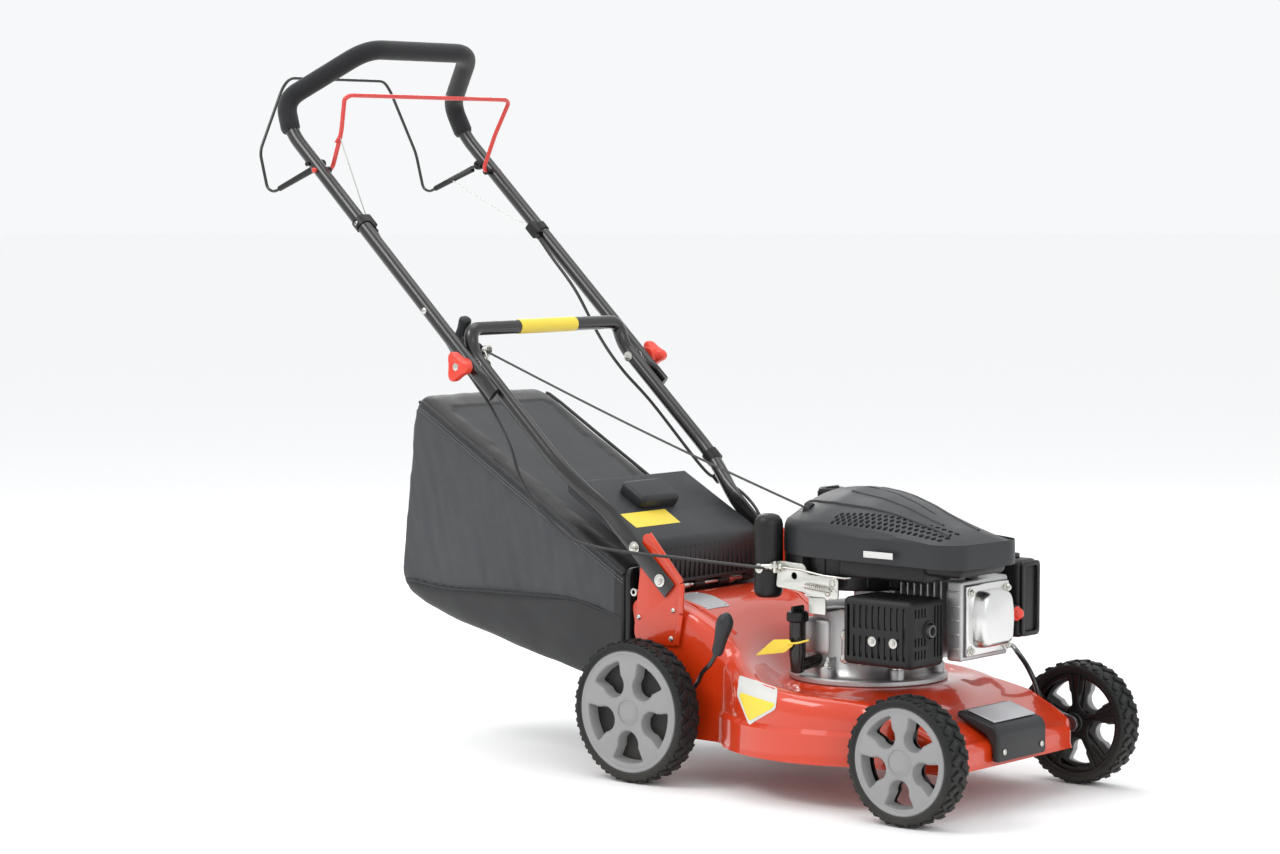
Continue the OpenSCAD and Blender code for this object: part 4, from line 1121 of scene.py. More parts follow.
def build_tank():
    """The fuel tank behind the fan and its filler neck."""
    rings = []
    for z, grow in ((292, -8), (294, -3), (299, 0), (340, 0), (346, -2), (349.6, -7)):
        loop = []
        for k in range(40):
            a = math.radians(92 + (256 - 92) * k / 39)
            loop.append((CRANK_X + (117 + grow) * math.cos(a), -8 + (117 + grow) * math.sin(a), z))
        for k in range(40):
            a = math.radians(256 - (256 - 92) * k / 39)
            loop.append((CRANK_X + 104.6 * math.cos(a), -8 + 104.6 * math.sin(a), z))
        rings.append([p if p[0] < CRANK_X - 2 else (CRANK_X - 2, p[1], p[2]) for p in loop])
    tank = loft(rings, caps=(True, True))
    neck = lathe([(9, 352), (14, 352), (14, 400), (12.5, 404), (9, 404)], (-316, 34, 0), steps=40)
    place("fuel_tank", [paint(tank, look("black plastic")), paint(neck, look("black plastic"))], "chassis",
          "black_plastic", "fuel_tank")
    cap = lathe([(0, 426), (12, 426), (15, 427.5), (18.5, 427.5), (20.5, 426), (21.5, 422), (21.5, 407), (20.5, 404.6),
                 (17.5, 404.6), (17.5, 412), (0, 412)], (-316, 34, 0), steps=72)
    grips = []
    for a in range(0, 360, 15):
        c, s = math.cos(math.radians(a)), math.sin(math.radians(a))
        grips.append(rod((-316 + 21.3 * c, 34 + 21.3 * s, 407), (-316 + 21.3 * c, 34 + 21.3 * s, 422), 1.2, 0, 10))
    bar = block((-318.5, 20, 424), (-313.5, 48, 430), 1.6)
    place("fuel_cap", [paint(p, look("black plastic")) for p in [cap, bar] + grips], "fuel_cap_body", "black_plastic",
          "fuel_cap")


def build_intake():
    """Air filter box, carburettor, primer bulb and the plug lead."""
    box = block((-104, 84, 224), (-20, 134, 336), 9, 4)
    back = block((-110, 94, 220), (-98, 138, 340), 5)
    parts = [paint(box, look("black plastic")), paint(back, look("black plastic"))]
    frame_ = plate([arc_poly([(86, 226), (132, 226), (132, 334), (86, 334)], 9),
                    arc_poly([(93, 233), (125, 233), (125, 327), (93, 327)], 6)], 4, FRONT, (-18, 0, 0), 1.4)
    parts.append(paint(frame_, look("black plastic")))
    for i in range(5):
        parts.append(paint(block((-94 + 15 * i, 133, 236), (-88 + 15 * i, 137, 324), 1.6), look("black plastic")))
    parts.append(paint(block((-66, 100, 335), (-44, 122, 343), 2.5), look("dark plastic")))
    place("air_filter", parts, "chassis", "black_plastic", "air_filter")
    parts = [paint(block((-100, 54, 248), (-66, 84, 282), 4), look("cast")),
             paint(block((-66, 60, 256), (-38, 72, 268), 3), look("cast")),
             paint(block((-38, 58, 250), (-14, 80, 274), 4), look("black plastic"))]
    bulb = lathe([(0, 10), (3, 9.6), (6, 8), (8, 5), (8.6, 1.5), (10, 1.2), (10.5, 0), (0, 0)], (-14, 69, 262),
                 (1, 0, 0), 40)
    parts.append(paint(bulb, look("red plastic"), 60))
    parts.append(paint(tube([(-82, 84, 250), (-82, 98, 214), (-150, 92, 200), (-215, 96, 230), (-250, 104, 292)], 3.0),
                       look("cable"), 60))
    place("carburettor", parts, "chassis", "cast", "carburettor")
    boot = tube(flow([(-32, -20, 318), (-32, -20, 330), (-38, -23, 339), (-52, -28, 343), (-66, -32, 343)]), 7.5, 5,
                None)
    collar = lathe([(0, 314), (8, 314), (9.5, 317), (9.5, 322), (8.5, 324), (0, 324)], (-32, -20, 0), steps=36)
    plug = rod((-32, -20, 312), (-32, -20, 326), 6.5, 1, 6)
    place("spark_plug", [paint(boot, look("cable"), 60), paint(collar, look("cable")), paint(plug, look("zinc"))],
          "chassis", "black_plastic", "spark_plug")


def build_oil():
    x, y = -272, -108
    tube_ = lathe([(9.2, 246), (12, 246), (12, 200), (10.5, 186), (9.5, 174), (6, 172), (0, 172)], (x, y, 0), steps=40)
    foot = tube(flow([(x, y, 182), (x + 8, y + 14, 186), (-252, -74, 190)]), 9, 5)
    parts = [paint(tube_, look("oil tube")), paint(foot, look("oil tube"), 60)]
    tag = plate([arc_poly([(-333, 194), (-300, 220), (-272, 223), (-264, 215), (-280, 203)], 3)], 1.0, SIDE,
                (0, -128, 0), 0.3)
    strap = tube([(-274, -128, 216), (-256, -128, 219), (-244, -118, 223)], 1.6, 3)
    parts += [paint(tag, look("yellow")), paint(strap, look("yellow"), 60)]
    place("oil_filler", parts, "chassis", "dark_plastic", "oil_filler")
    cap = lathe([(0, 262), (12, 262), (15.2, 260), (16, 257), (16, 248.5), (14.5, 247), (8.4, 247), (8.4, 226),
                 (0, 225)], (x, y, 0), steps=56)
    wing = block((x - 2.4, y - 14, 260), (x + 2.4, y + 14, 269.5), 2.0)
    place("oil_cap", [paint(cap, look("black plastic")), paint(wing, look("black plastic"))], "oil_cap_body",
          "black_plastic", "oil_cap")
    cx, cy = -322, -112
    can = lathe([(0, 280), (15, 279), (19, 282), (21, 288), (21, 384), (19.5, 391), (15, 397), (8, 399.5), (0, 400)],
                (cx, cy, 0), steps=56)
    band = lathe([(20.5, 318), (22, 318), (22, 324), (20.5, 324)], (cx, cy, 0), steps=56)
    arm = block((cx - 4, cy + 8, 316), (cx + 30, cy + 30, 327), 3)
    parts = [paint(can, look("black plastic"), 50), paint(band, look("heat black")), paint(arm, look("black plastic"))]
    parts += [paint(p, look("zinc")) for p in hex_bolt((cx, cy - 21.5, 322), (0, -1, 0), 4.5, 4, 7)]
    place("evap_canister", parts, "chassis", "black_plastic", "evap_canister")


def build_brake_bracket():
    outline = arc_poly([(-301, 296), (-296, 334), (-250, 332), (-244, 318), (-190, 316), (-190, 286), (-240, 284),
                        (-252, 292)], 5)
    parts = [plate([outline, circle_loop(-226, 300, 4), circle_loop(-268, 314, 5)], 3, SIDE, (0, -120.5, 0), 0.7)]
    parts.append(block((-242, -119, 265.2), (-212, -62, 268.2), 1))
    parts.append(block((-242, -122, 262), (-212, -119, 288), 1))
    parts.append(block((-297, -134, 317), (-292.5, -121, 334), 1))
    parts.append(tube([(-292, -128, 326), (-250, -128, 324), (-210, -128, 319), (-176, -127, 318),
                       (-170, -120, 318)], 1.6, 3))
    coil = [(-246 + t * 0.62, -126 + 3.6 * math.cos(t * 1.05), 302 + 3.6 * math.sin(t * 1.05) - t * 0.05)
            for t in range(0, 74)]
    parts.append(tube([(-256, -126, 300)] + coil + [(-192, -124, 296)], 0.75, 2))
    for p in ((-200, -122, 308), (-208, -122, 294)):
        parts.append(dome_screw(p, (0, -1, 0), 5))
    parts.append(rod((-316, -136, 325.2), (-292, -128, 326.2), 4.2, 0.8))
    parts.append(rod((-303, -131.6, 325.8), (-299, -130.3, 326), 6.5, 0.6, 6))
    parts.append(rod((-290, -127.2, 326.3), (-286, -126, 326.4), 6.5, 0.6, 6))
    place("brake_bracket", [paint(p, look("zinc"), 50) for p in parts], "chassis", "zinc", "brake_bracket")


# ---------------------------------------------------------------- handle


def along(v):
    """Distance along the handle and square to it for a point in metres, in millimetres."""
    x, z = (v.x - AXLE_X) / MM + WHEELBASE - 9, v.z / MM - 293
    c, d = math.cos(HANDLE_ANGLE), math.sin(HANDLE_ANGLE)
    return -x * c + z * d, x * d + z * c


def press_flat(obj, lo, hi, y_mid, thin, wide, below=True):
    """Presses a round tube flat towards one end; lo to hi is the run-out."""
    for v in obj.data.vertices:
        s, n = along(v.co)
        t = smooth((s - lo) / (hi - lo))
        if not below:
            t = 1 - t
        if t >= 1:
            continue
        side = 1 if v.co.y > 0 else -1
        y = v.co.y / MM - side * y_mid
        y *= thin + (1 - thin) * t
        grow = n * ((wide - 1) * (1 - t))
        v.co = v.co + Vector((grow * math.sin(HANDLE_ANGLE), 0, grow * math.cos(HANDLE_ANGLE))) * MM
        v.co.y = (side * y_mid + y) * MM
    return obj


def other_side(points):
    return [(p[0], -p[1], p[2]) for p in reversed(points)]


def build_lower_handle():
    side = [hp(-22, 0, -FOOT_Y), hp(40, 0, -FOOT_Y), hp(110, 0, -FOOT_Y), hp(132, 0, -FOOT_Y - 1),
            hp(232, 0, -LOWER_Y), hp(300, 0, -LOWER_Y), hp(FOLD_S + 26, 0, -LOWER_Y), hp(FOLD_S + 58, 21, -LOWER_Y + 5)]
    path = bend(side + other_side(side), 34, 8)
    dense = []
    for a, b in zip(path, path[1:]):
        steps = max(1, int((b - a).length / 12))
        dense += [a + (b - a) * k / steps for k in range(steps)]
    dense.append(path[-1])
    bar = tube(dense, TUBE_R, 6)
    press_flat(bar, 112, 190, FOOT_Y, 5.6 / 22, 28 / 22)
    parts = [paint(bar, look("black paint"), 50)]
    for y in (-1, 1):
        for s in (0, 66):
            parts += [paint(p, look("zinc")) for p in hex_bolt(hp(s, 0, y * (FOOT_Y + 3)), (0, y, 0), 6.5, 5, 9.5)]
        pin = hp(FOLD_S, 0, y * (LOWER_Y - TUBE_R))
        parts += [paint(p, look("zinc")) for p in hex_bolt(pin, (0, -y, 0), 6, 4, 8)]
        parts.append(paint(rod(hp(FOLD_S, 0, y * (LOWER_Y + TUBE_R)), hp(FOLD_S, 0, y * (UPPER_Y + 33)), 4, 0.6),
                           look("zinc")))
    place("lower_handle", parts, "chassis", "black_paint", "lower_handle", "handle_bolts")
    tag = []
    for k in range(13):
        tag.append(hp(FOLD_S + 58, 21, -66 + 11 * k))
    band = tube(tag, TUBE_R + 0.5, 8)
    place("bar_label", [paint(band, look("yellow"), 40)], "chassis", "zinc")
    eye = Vector(hp(FOLD_S + 21, 9, -158))
    turns = []
    for k in range(0, 34):
        a = k / 12 * 2 * math.pi
        turns.append(eye + Vector((8.0 * math.cos(a) * 0.34 + k * 0.32 - 5, 8.0 * math.sin(a),
                                   8.0 * math.cos(a) * 0.94)))
    root = Vector(hp(FOLD_S + 2, -2, -LOWER_Y + TUBE_R + 2.2))
    guide = tube(turns + [eye + Vector((7, -7, -6)), root + Vector((2, 1, 6)), root], 1.75, 4)
    place("rope_guide", [paint(guide, look("zinc"), 60)], "chassis", "zinc")
    clip = lathe([(3, -9), (TUBE_R + 2.2, -9), (TUBE_R + 2.2, 9), (3, 9)], hp(226, 0, 175.5),
                 Vector(hp(1, 0, 0)) - Vector(hp(0, 0, 0)), 32)
    loop_ = lathe([(2.6, -7), (5.2, -7), (5.2, 7), (2.6, 7)], (-660, 190, 410.5),
                  Vector(hp(1, 0, 0)) - Vector(hp(0, 0, 0)), 24)
    place("cable_clip", [paint(clip, look("black plastic")), paint(loop_, look("black plastic"))], "chassis",
          "black_plastic")


def build_upper_handle():
    side = [hp(FOLD_S - 62, 0, -UPPER_Y), hp(FOLD_S - 20, 0, -UPPER_Y), hp(GRIP_S, 0, -UPPER_Y),
            hp(GRIP_S + 51, 23, -UPPER_Y + 7), hp(GRIP_S + 24, 156, -118)]
    path = bend(side + other_side(side), 34, 10)
    dense = []
    for a, b in zip(path, path[1:]):
        steps = max(1, int((b - a).length / 12))
        dense += [a + (b - a) * k / steps for k in range(steps)]
    dense.append(path[-1])
    bar = tube(dense, TUBE_R, 6)
    press_flat(bar, FOLD_S - 40, FOLD_S - 18, UPPER_Y, 0.4, 1.18)
    parts = [paint(bar, look("black paint"), 50)]
    for y in (-1, 1):
        for s in (FOLD_S + 316, FOLD_S + 121):
            parts.append(paint(dome_screw(hp(s, 0, y * (UPPER_Y + TUBE_R - 0.6)), (0, y, 0), 5), look("zinc")))
        parts.append(paint(lathe([(4.2, 0), (9, 0), (9, 1.6), (4.2, 1.6)], hp(FOLD_S, 0, y * (UPPER_Y - TUBE_R - 0.4)),
                                 (0, y, 0), 32), look("zinc")))
    place("upper_handle", parts, "upper", "black_paint", "upper_handle")
    grip = [hp(GRIP_S + 2, 1, -UPPER_Y), hp(GRIP_S + 51, 23, -UPPER_Y + 7), hp(GRIP_S + 24, 156, -118)]
    path = bend(grip + other_side(grip), 34, 12)
    pts, sizes, run = [], [], 0.0
    total = sum((b - a).length for a, b in zip(path, path[1:]))
    for a, b in zip(path, path[1:]):
        steps = max(1, int((b - a).length / 5))
        for k in range(steps):
            p = a + (b - a) * k / steps
            d = min(run + (b - a).length * k / steps, total - run - (b - a).length * k / steps)
            pts.append(p)
            sizes.append((0.86 + 0.14 * smooth(d / 4)) * (1 + 0.012 * noise.noise(p / 18)))
        run += (b - a).length
    pts.append(path[-1])
    sizes.append(0.86)
    foam = tube(pts, size("foam_width") / 2, 8, sizes)
    place("foam_grip", [paint(foam, look("foam"), 50)], "upper", "foam", "foam_grip")
    blocks = []
    for s, y in ((FOLD_S + 316, -1), (FOLD_S + 296, 1)):
        shell = block((-13, -6, -9), (13, 6, 9), 2.5)
        shell.matrix_world = Matrix.Translation(at(*hp(s, 0, y * (UPPER_Y - TUBE_R - 5)))) \
            @ Matrix.Rotation(HANDLE_ANGLE, 4, "Y") @ Matrix.Translation(-at(0, 0, 0))
        blocks.append(settle(shell))
        blocks.append(rod(hp(s - 20, 0, y * (UPPER_Y - 19)), hp(s - 12, 0, y * (UPPER_Y - 19)), 3.6, 0.8))
        blocks.append(lathe([(TUBE_R + 0.2, -7), (TUBE_R + 2, -7), (TUBE_R + 2, 7), (TUBE_R + 0.2, 7)],
                            hp(s, 0, y * UPPER_Y), Vector(hp(1, 0, 0)) - Vector(hp(0, 0, 0)), 40))
    place("cable_stops", [paint(p, look("black plastic")) for p in blocks], "upper", "black_plastic", "cable_stops")


def build_knobs():
    """The two three-lobed knobs of the folding bolts."""
    for name, y in (("knob_right", -1), ("knob_left", 1)):
        turn = Matrix.Rotation(math.radians(-90 * y), 4, "X")
        rings = []
        for h, scale, round_ in ((0, 0.42, 1), (0, 0.54, 1), (1, 0.56, 1), (8, 0.56, 1), (9.5, 0.62, 0.8),
                                 (10.5, 0.86, 0.2), (12, 0.97, 0), (14, 1, 0), (21, 1, 0), (23.5, 0.965, 0),
                                 (25.2, 0.88, 0), (26, 0.74, 0), (25.6, 0.5, 0.3), (24.6, 0.38, 1), (24.4, 0.1, 1)):
            loop = []
            for k in range(72):
                a = 2 * math.pi * k / 72
                lobe = 19.6 + 4.6 * math.cos(3 * a) + 0.7 * math.cos(6 * a)
                r = (lobe * (1 - round_) + 23 * round_) * scale
                loop.append((r * math.cos(a), r * math.sin(a), h))
            rings.append(loop)
        body = loft(rings, caps=(True, True))
        centre = Vector(hp(FOLD_S, 0, y * (UPPER_Y + TUBE_R + 0.6)))
        body.matrix_world = Matrix.Translation(at(*centre)) @ turn @ Matrix.Translation(-at(0, 0, 0))
        settle(body)
        nut = rod(centre + Vector((0, y * 23, 0)), centre + Vector((0, y * 25, 0)), 6.3, 0.5, 6)
        place(name, [paint(body, look("red plastic"), 45), paint(nut, look("zinc"))], name + "_body", "red_plastic",
              name)


def build_bails():
    s0, u = GRIP_S - 88, UPPER_Y
    side = [hp(s0, 0, -u - 15), hp(s0, 0, -u + 25), hp(s0 + 22, 60, -u + 22), hp(s0 + 43, 112, -u + 10),
            hp(s0 + 44, 118, -u + 20)]
    wire = tube(bend(side + other_side(side), 12, 8), 3.5, 6)
    caps = [ball(hp(s0, 0, y * (u + 14.5)), 4.4, (1, 0.6, 1)) for y in (-1, 1)]
    clips = [lathe([(3.2, -4), (6.2, -4), (6.2, 4), (3.2, 4)], hp(s0, 0, y * (u - 15)), (0, 1, 0), 32) for y in (-1, 1)]
    hook = tube(flow([hp(s0 + 16, 44, -u + 16), hp(s0 + 18, 52, -u + 18), hp(s0 + 20, 54, -u + 21),
                      hp(s0 + 16, 52, -u + 23)]), 2.2, 4)
    place("stop_bail", [paint(p, look("red rod"), 60) for p in [wire, hook] + caps]
          + [paint(p, look("black plastic")) for p in clips], "stop_bail_body", "red_rod", "stop_bail")
    s0 = GRIP_S - 69
    side = [hp(s0, -4, -u - 14), hp(s0, -4, -u + 24), hp(s0 + 51, -111, -u + 20), hp(s0 + 66, -117, -u + 20),
            hp(s0 + 118, -85, -u + 20), hp(s0 + 192, -12, -124), hp(s0 + 202, 0, -108)]
    wire = tube(bend(side + other_side(side), 12, 8), 2.5, 6)
    sleeves, hubs = [], []
    for y in (-1, 1):
        path = [hp(s0 + 6, -18, y * (u - 18)), hp(s0 + 45, -98, y * (u - 20))]
        arm = tube(path, 5.6, 6, [1, 0.8])
        sleeves.append(arm)
        hubs.append(lathe([(2.6, -5), (7.2, -5), (7.8, -3), (7.8, 3), (7.2, 5), (2.6, 5)], hp(s0, -4, y * (u - 17)),
                          (0, 1, 0), 36))
        hubs.append(ball(hp(s0, -4, y * (u + 13.5)), 3.8, (1, 0.6, 1)))
    place("drive_bail", [paint(wire, look("black paint"), 60)]
          + [paint(p, look("black plastic"), 50) for p in sleeves + hubs],
          "drive_bail_body", "black_paint", "drive_bail")


PULL = Vector((-0.94, 0, 0.341))
BAR = Vector((0.341, 0, 0.94))


def build_starter():
    eye = Vector(hp(FOLD_S + 21, 9, -158))
    c = eye - Vector((52.6, 0, -19))
    pts = [c + BAR * (-35 + 70 * k / 28) for k in range(29)]
    sizes = []
    for k in range(29):
        t = abs(k / 14 - 1)
        end = math.sqrt(max(0.0, 1 - max(0.0, (t - 0.8) / 0.21) ** 2))
        sizes.append((0.93 + 0.1 * math.cos(t * math.pi * 2.2) * (1 - t)) * end)
    bar = tube(pts, 10.5, 8, sizes)
    stem = tube([c - PULL * (46 * k / 8) for k in range(9)], 6.6, 6, [1.5, 1.35, 1.1, 1, 1, 1, 0.98, 0.92, 0.7])
    place("starter_grip", [paint(bar, look("dark plastic"), 50), paint(stem, look("dark plastic"), 50)],
          "starter_grip_body", "dark_plastic", "starter_grip")
    mouth = Vector(ROPE_MOUTH) + Vector((6, 1, -2.5))
    run = [eye + (mouth - eye) * k / 8 - Vector((0, 0, 5 * math.sin(math.pi * k / 8))) for k in range(9)]
    place("starter_rope", [braid(flow(run, 10), size("rope_width") / 2)], "chassis", "rope", "starter_rope")
    from_grip = [c - PULL * 44 + (eye - c + PULL * 44) * k / 12 for k in range(13)]
    lead = gather("starter_rope_lead", [braid(from_grip, size("rope_width") / 2)])
    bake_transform(lead)
    drum = lathe([(12.6, 380), (34, 380), (34, 382.4), (30, 383.4), (30, 388.6), (34, 389.6), (34, 392), (12.6, 392)],
                 (CRANK_X, 0, 0), steps=72)
    place("starter_pulley", [paint(drum, look("black plastic"))], "starter_pulley_body", "black_plastic",
          "starter_pulley")


def braid(points, r):
    obj = tube(points, r, 3)
    return paint(obj, look("rope"), 60)


CABLES = {
    "brake": [hp(GRIP_S - 223.5, 0, -181), hp(GRIP_S - 270, -6, -181), hp(FOLD_S + 160, -8, -180),
              hp(FOLD_S + 70, -26, -178), hp(FOLD_S, -30, -176), hp(FOLD_S - 60, -32, -180), (-752, -192, 480),
              (-734, -196, 445), (-712, -198, 415), (-684, -198, 387), (-655, -196, 364), (-625, -192, 347),
              (-580, -186, 338), (-511, -176, 333), (-450, -166, 331), (-400, -156, 328), (-350, -143, 325),
              (-318, -139, 324), (-297, -128, 326)],
    "drive": [hp(GRIP_S - 243.5, 0, 181), hp(GRIP_S - 290, -4, 181), hp(FOLD_S + 160, -8, 180),
              hp(FOLD_S + 70, -26, 178), hp(FOLD_S, -30, 176), hp(FOLD_S - 80, -28, 180), (-690, 186, 430),
              (-660, 190, 410), (-620, 192, 396), (-580, 182, 374), (-550, 172, 345), (-520, 166, 310),
              (-480, 163, 270), (-440, 160, 240), (-400, 158, 215), (-375, 158, 190)],
}


def build_cables():
    """Both outer cables across the fold and the two bare inner wires."""
    for key, y in (("brake", -1), ("drive", 1)):
        obj = gather(key + "_cable", [paint(tube(flow(CABLES[key], 8), size("cable_width") / 2, 4), look("cable"), 60)])
        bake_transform(obj)
        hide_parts(key + "_cable")
    s0 = GRIP_S - 88
    wire = tube([hp(s0 + 20, 54, -UPPER_Y + 21), hp(GRIP_S - 170, 12, -UPPER_Y + 20),
                 hp(GRIP_S - 197, 2, -UPPER_Y + 19)], 1.0, 3)
    wire = gather("brake_wire", [paint(wire, look("zinc"), 60)])
    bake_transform(wire)
    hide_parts("brake_wire")
    s0 = GRIP_S - 69
    wire = tube([hp(s0 + 30, -62, UPPER_Y - 22), hp(GRIP_S - 170, -22, UPPER_Y - 20),
                 hp(GRIP_S - 217, -2, UPPER_Y - 19)], 1.0, 3)
    wire = gather("drive_wire", [paint(wire, look("zinc"), 60)])
    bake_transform(wire)
    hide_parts("drive_wire")


# ---------------------------------------------------------------- flap and bag


def build_flap():
    half = 138
    profile = [(-684, 426), (-684, 419), (-562, 350), (-546, 333), (-541, 279), (-537, 279), (-533, 330), (-539, 344),
               (-556, 355)]
    shell = plate([arc_poly(profile, 7)], 2 * half, SIDE, (0, 0, 0), 1.6)
    parts = [shell]
    for y in (-1, 1):
        wing = arc_poly([(-684, 425), (-684, 410), (-600, 358), (-549, 328), (-542, 285), (-535, 285), (-533, 330),
                         (-541, 345), (-556, 355)], 5)
        parts.append(plate([wing], 3, SIDE, (0, y * (half - 1.4), 0), 0.8))
    for i in range(24):
        y = -132 + 11.48 * i
        parts.append(block((-541.5, y - 1.5, 283), (-533.4, y + 1.5, 333), 1.0, 2))
    parts.append(block((-542, -half + 4, 277), (-535, half - 4, 284), 2.0))
    for i in range(5):
        y = -120 + 60 * i
        parts.append(lathe([(4.4, y - 12), (5.6, y - 12), (6.4, y - 11), (6.4, y + 11), (5.6, y + 12), (4.4, y + 12)],
                           (HINGE[0], 0, HINGE[1]), (0, 1, 0), 36))
        parts.append(block((-544, y - 11, 274), (-537, y + 11, 292), 1.5))
    # raised border on the top and the finger pull
    slope = math.atan2(76, 128)
    ridge = block((-66, -half + 6, -1.2), (66, half - 6, 1.2), 1.0)
    ridge.matrix_world = Matrix.Translation(at(-622, 0, 391.2)) @ Matrix.Rotation(slope, 4, "Y") \
        @ Matrix.Translation(-at(0, 0, 0))
    parts.append(settle(ridge))
    bump = block((-26, -45, -8), (26, 45, 17), 9, 5)
    cut(bump, block((-40, -36, -4), (10, 36, 12), 5))
    bump.matrix_world = Matrix.Translation(at(-628, -16, 399)) @ Matrix.Rotation(slope, 4, "Y") \
        @ Matrix.Translation(-at(0, 0, 0))
    parts.append(settle(bump))
    place("rear_flap", [paint(p, look("dark plastic")) for p in parts], "flap_body", "dark_plastic", "rear_flap")
    tag = block((-21, -52, -0.5), (21, 52, 0.6), 0.5)
    tag.matrix_world = Matrix.Translation(at(-583, -62, 369.8)) @ Matrix.Rotation(slope, 4, "Y") \
        @ Matrix.Translation(-at(0, 0, 0))
    place("flap_label", [paint(settle(tag), look("yellow"))], "flap_body", "zinc")


BAG_TOP = [(-561, 302), (-600, 325), (-680, 371), (-780, 429), (-880, 487), (-950, 528), (-975, 541), (-988, 544)]
BAG_LOW = [(-561, 153), (-590, 134), (-640, 134), (-760, 158), (-905, 190), (-985, 214), (-1014, 229), (-1024, 244)]


def run_along(points, t):
    lengths = [math.dist(a, b) for a, b in zip(points, points[1:])]
    goal = t * sum(lengths)
    for (a, b), d in zip(zip(points, points[1:]), lengths):
        if goal <= d:
            f = goal / d
            return Vector((a[0] + (b[0] - a[0]) * f, a[1] + (b[1] - a[1]) * f))
        goal -= d
    return Vector(points[-1])


def bag_ring(t, grow=0.0, back=0.0, count=96):
    top, low = run_along(BAG_TOP, t), run_along(BAG_LOW, t)
    half_h = (top - low).length / 2 - grow
    half_w = CHUTE_W / 2 + 3 - grow
    mid, up = (top + low) / 2, (top - low).normalized()
    r = min(20 + 6 * t, half_h * 0.5)
    loop = []
    for k in range(count):
        a = 2 * math.pi * (k + 0.5) / count
        c, s = math.cos(a), math.sin(a)
        # a rounded box, walked evenly round
        m = max(abs(c) / half_w, abs(s) / half_h)
        y, h = c / m, s / m
        ky, kh = half_w - r, half_h - r
        oy, oh = max(0.0, abs(y) - ky), max(0.0, abs(h) - kh)
        if oy > 0 and oh > 0:
            d = math.hypot(oy, oh)
            f = r / d
            if f < 1.42:
                oy, oh = oy * f, oh * f
            y, h = math.copysign(ky + min(r, oy), y), math.copysign(kh + min(r, oh), h)
        swell = 1 - (h / half_h) ** 2
        if abs(abs(y) - half_w) < 1:
            y += math.copysign(5.5 * swell * math.sin(math.pi * min(1.0, t * 1.1 + 0.02)), y)
        if h > half_h - 1:
            h -= 5.0 * (1 - (y / half_w) ** 2) * math.sin(math.pi * min(1.0, t))
        p = mid + up * h
        loop.append((p.x - back, y, p.y))
    return loop


